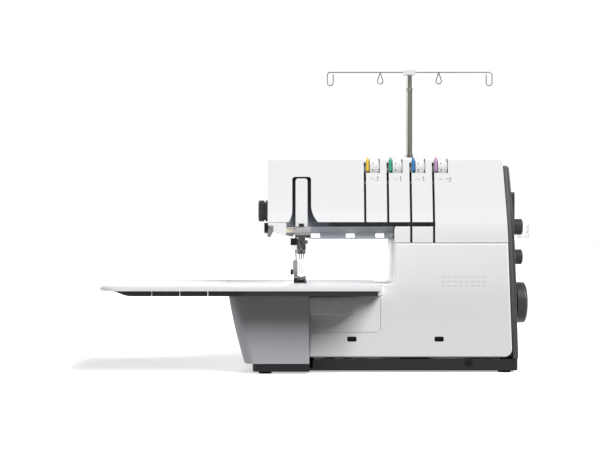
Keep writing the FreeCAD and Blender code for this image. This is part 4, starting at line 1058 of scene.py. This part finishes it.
class SEWING_OT_stage(bpy.types.Operator):
    """Set the pale floor, the soft light and the camera"""
    bl_idname = "sewing.stage"
    bl_label = "Stage"

    def execute(self, context):
        self.lay_floor()
        self.light_room()
        self.place_camera()
        context.scene.view_settings.view_transform = "Standard"
        return {"FINISHED"}

    def seen_directly(self, owner):
        """1 for what the camera sees, also in gloss and through clear plastic."""
        path = add_node(owner, "ShaderNodeLightPath").outputs
        direct = combined(owner, "MAXIMUM", path["Is Camera Ray"], path["Is Glossy Ray"])
        return combined(owner, "MAXIMUM", direct, path["Is Transmission Ray"])

    def show(self, owner, output_kind, lighting, seen):
        """Uses one shader to light the scene and another where the camera looks."""
        mix = add_node(owner, "ShaderNodeMixShader")
        output = add_node(owner, output_kind)
        link(owner, self.seen_directly(owner), mix.inputs["Fac"])
        link(owner, lighting.outputs[0], mix.inputs[1])
        link(owner, seen.outputs[0], mix.inputs[2])
        link(owner, mix.outputs[0], output.inputs["Surface"])

    def lay_floor(self):
        clear_selection()
        bpy.ops.mesh.primitive_plane_add(size=16, location=(0, 2, 0))
        floor = settle(bpy.context.object, "floor")
        material = new_material("white_floor")[0]
        material.node_tree.nodes.clear()
        paint = add_node(material, "ShaderNodeBsdfDiffuse", Color=(0.95, 0.95, 0.95, 1))
        lift = add_node(material, "ShaderNodeEmission", Strength=0.50)
        bright = add_node(material, "ShaderNodeAddShader")
        link(material, paint.outputs[0], bright.inputs[0])
        link(material, lift.outputs[0], bright.inputs[1])
        dim = add_node(material, "ShaderNodeBsdfDiffuse", Color=(0.12, 0.12, 0.12, 1))
        self.show(material, "ShaderNodeOutputMaterial", dim, bright)
        floor.data.materials.append(material)

    def light_room(self):
        world = bpy.data.worlds.new("white_room")
        bpy.context.scene.world = world
        world.use_nodes = True
        world.node_tree.nodes.clear()
        ambient = add_node(world, "ShaderNodeBackground", Color=(0.95, 0.95, 1.0, 1), Strength=0.12)
        white = add_node(world, "ShaderNodeBackground", Color=(1, 1, 1, 1))
        self.show(world, "ShaderNodeOutputWorld", ambient, white)
        self.hang_lamp("key", towards=(1.2, -1.05, 1.5), strength=4.55, spread=34)
        self.hang_lamp("left_fill", towards=(-1.0, 0.0, 0.05), strength=2.6, spread=40)
        self.hang_lamp("rear_fill", towards=(-0.3, 1.0, 0.25), strength=1.4, spread=60)
        below_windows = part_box("led_modules")[0].z - 4 * MM
        for number, x in enumerate(LAMPS_X, 1):
            clear_selection()
            place = (x, FACE_Y + 112 * MM, below_windows)
            bpy.ops.object.light_add(type="AREA", radius=12 * MM, location=place)
            lamp = bpy.context.object
            lamp.name = f"arm_lamp_{number}"
            lamp.data.energy = 0.016
            lamp.visible_camera = False

    def hang_lamp(self, name, towards, strength, spread):
        """A broad distant lamp, given by the direction it stands in and its spread in degrees."""
        clear_selection()
        bpy.ops.object.light_add(type="SUN", location=towards)
        lamp = bpy.context.object
        lamp.name = name
        lamp.data.energy = strength
        lamp.data.angle = math.radians(spread)
        lamp.rotation_mode = "QUATERNION"
        lamp.rotation_quaternion = Vector(towards).to_track_quat("Z", "Y")

    def place_camera(self):
        middle_x = -38 * MM
        sensor = 36.0
        place = (middle_x, FACE_Y - sizes().camera_distance, sizes().camera_height)
        clear_selection()
        bpy.ops.object.camera_add(location=place, rotation=(math.pi / 2, 0, 0))
        camera = bpy.context.object
        camera.data.sensor_width = sensor
        camera.data.lens = sensor * sizes().camera_distance / sizes().view_width
        camera.data.dof.use_dof = False
        bpy.context.scene.camera = camera


STEPS = (
    SEWING_OT_finishes, SEWING_OT_thread_tabs, SEWING_OT_dial_numbers, SEWING_OT_path_marks,
    SEWING_OT_stitch_sign, SEWING_OT_needle_fittings, SEWING_OT_presser_fittings,
    SEWING_OT_presser_spring, SEWING_OT_bar_guard, SEWING_OT_mast_collars, SEWING_OT_plate_screws,
    SEWING_OT_side_scales, SEWING_OT_wheel_mark, SEWING_OT_base_screws, SEWING_OT_stage,
)


class SEWING_PT_machine(bpy.types.Panel):
    bl_label = "Cover stitch machine"
    bl_idname = "SEWING_PT_machine"
    bl_space_type = "VIEW_3D"
    bl_region_type = "UI"
    bl_category = "Sewing"

    def draw(self, context):
        for group in (context.scene.sewing_colours, context.scene.sewing_sizes):
            for key in group.bl_rna.properties.keys():
                if key not in ("rna_type", "name"):
                    self.layout.prop(group, key)
        for step in STEPS:
            self.layout.operator(step.bl_idname)


CLASSES = (SewingColours, SewingSizes) + STEPS + (SEWING_PT_machine,)


def register():
    for kind in CLASSES:
        bpy.utils.register_class(kind)
    bpy.types.Scene.sewing_colours = bpy.props.PointerProperty(type=SewingColours)
    bpy.types.Scene.sewing_sizes = bpy.props.PointerProperty(type=SewingSizes)


def unregister():
    del bpy.types.Scene.sewing_colours
    del bpy.types.Scene.sewing_sizes
    for kind in reversed(CLASSES):
        bpy.utils.unregister_class(kind)


def main():
    register()
    bpy.ops.sewing.finishes()
    bpy.ops.sewing.thread_tabs()
    bpy.ops.sewing.dial_numbers()
    bpy.ops.sewing.path_marks()
    bpy.ops.sewing.stitch_sign()
    bpy.ops.sewing.needle_fittings()
    bpy.ops.sewing.presser_fittings()
    bpy.ops.sewing.presser_spring()
    bpy.ops.sewing.bar_guard()
    bpy.ops.sewing.mast_collars()
    bpy.ops.sewing.plate_screws()
    bpy.ops.sewing.side_scales()
    bpy.ops.sewing.wheel_mark()
    bpy.ops.sewing.base_screws()
    bpy.ops.sewing.stage()


if __name__ == "__main__":
    main()
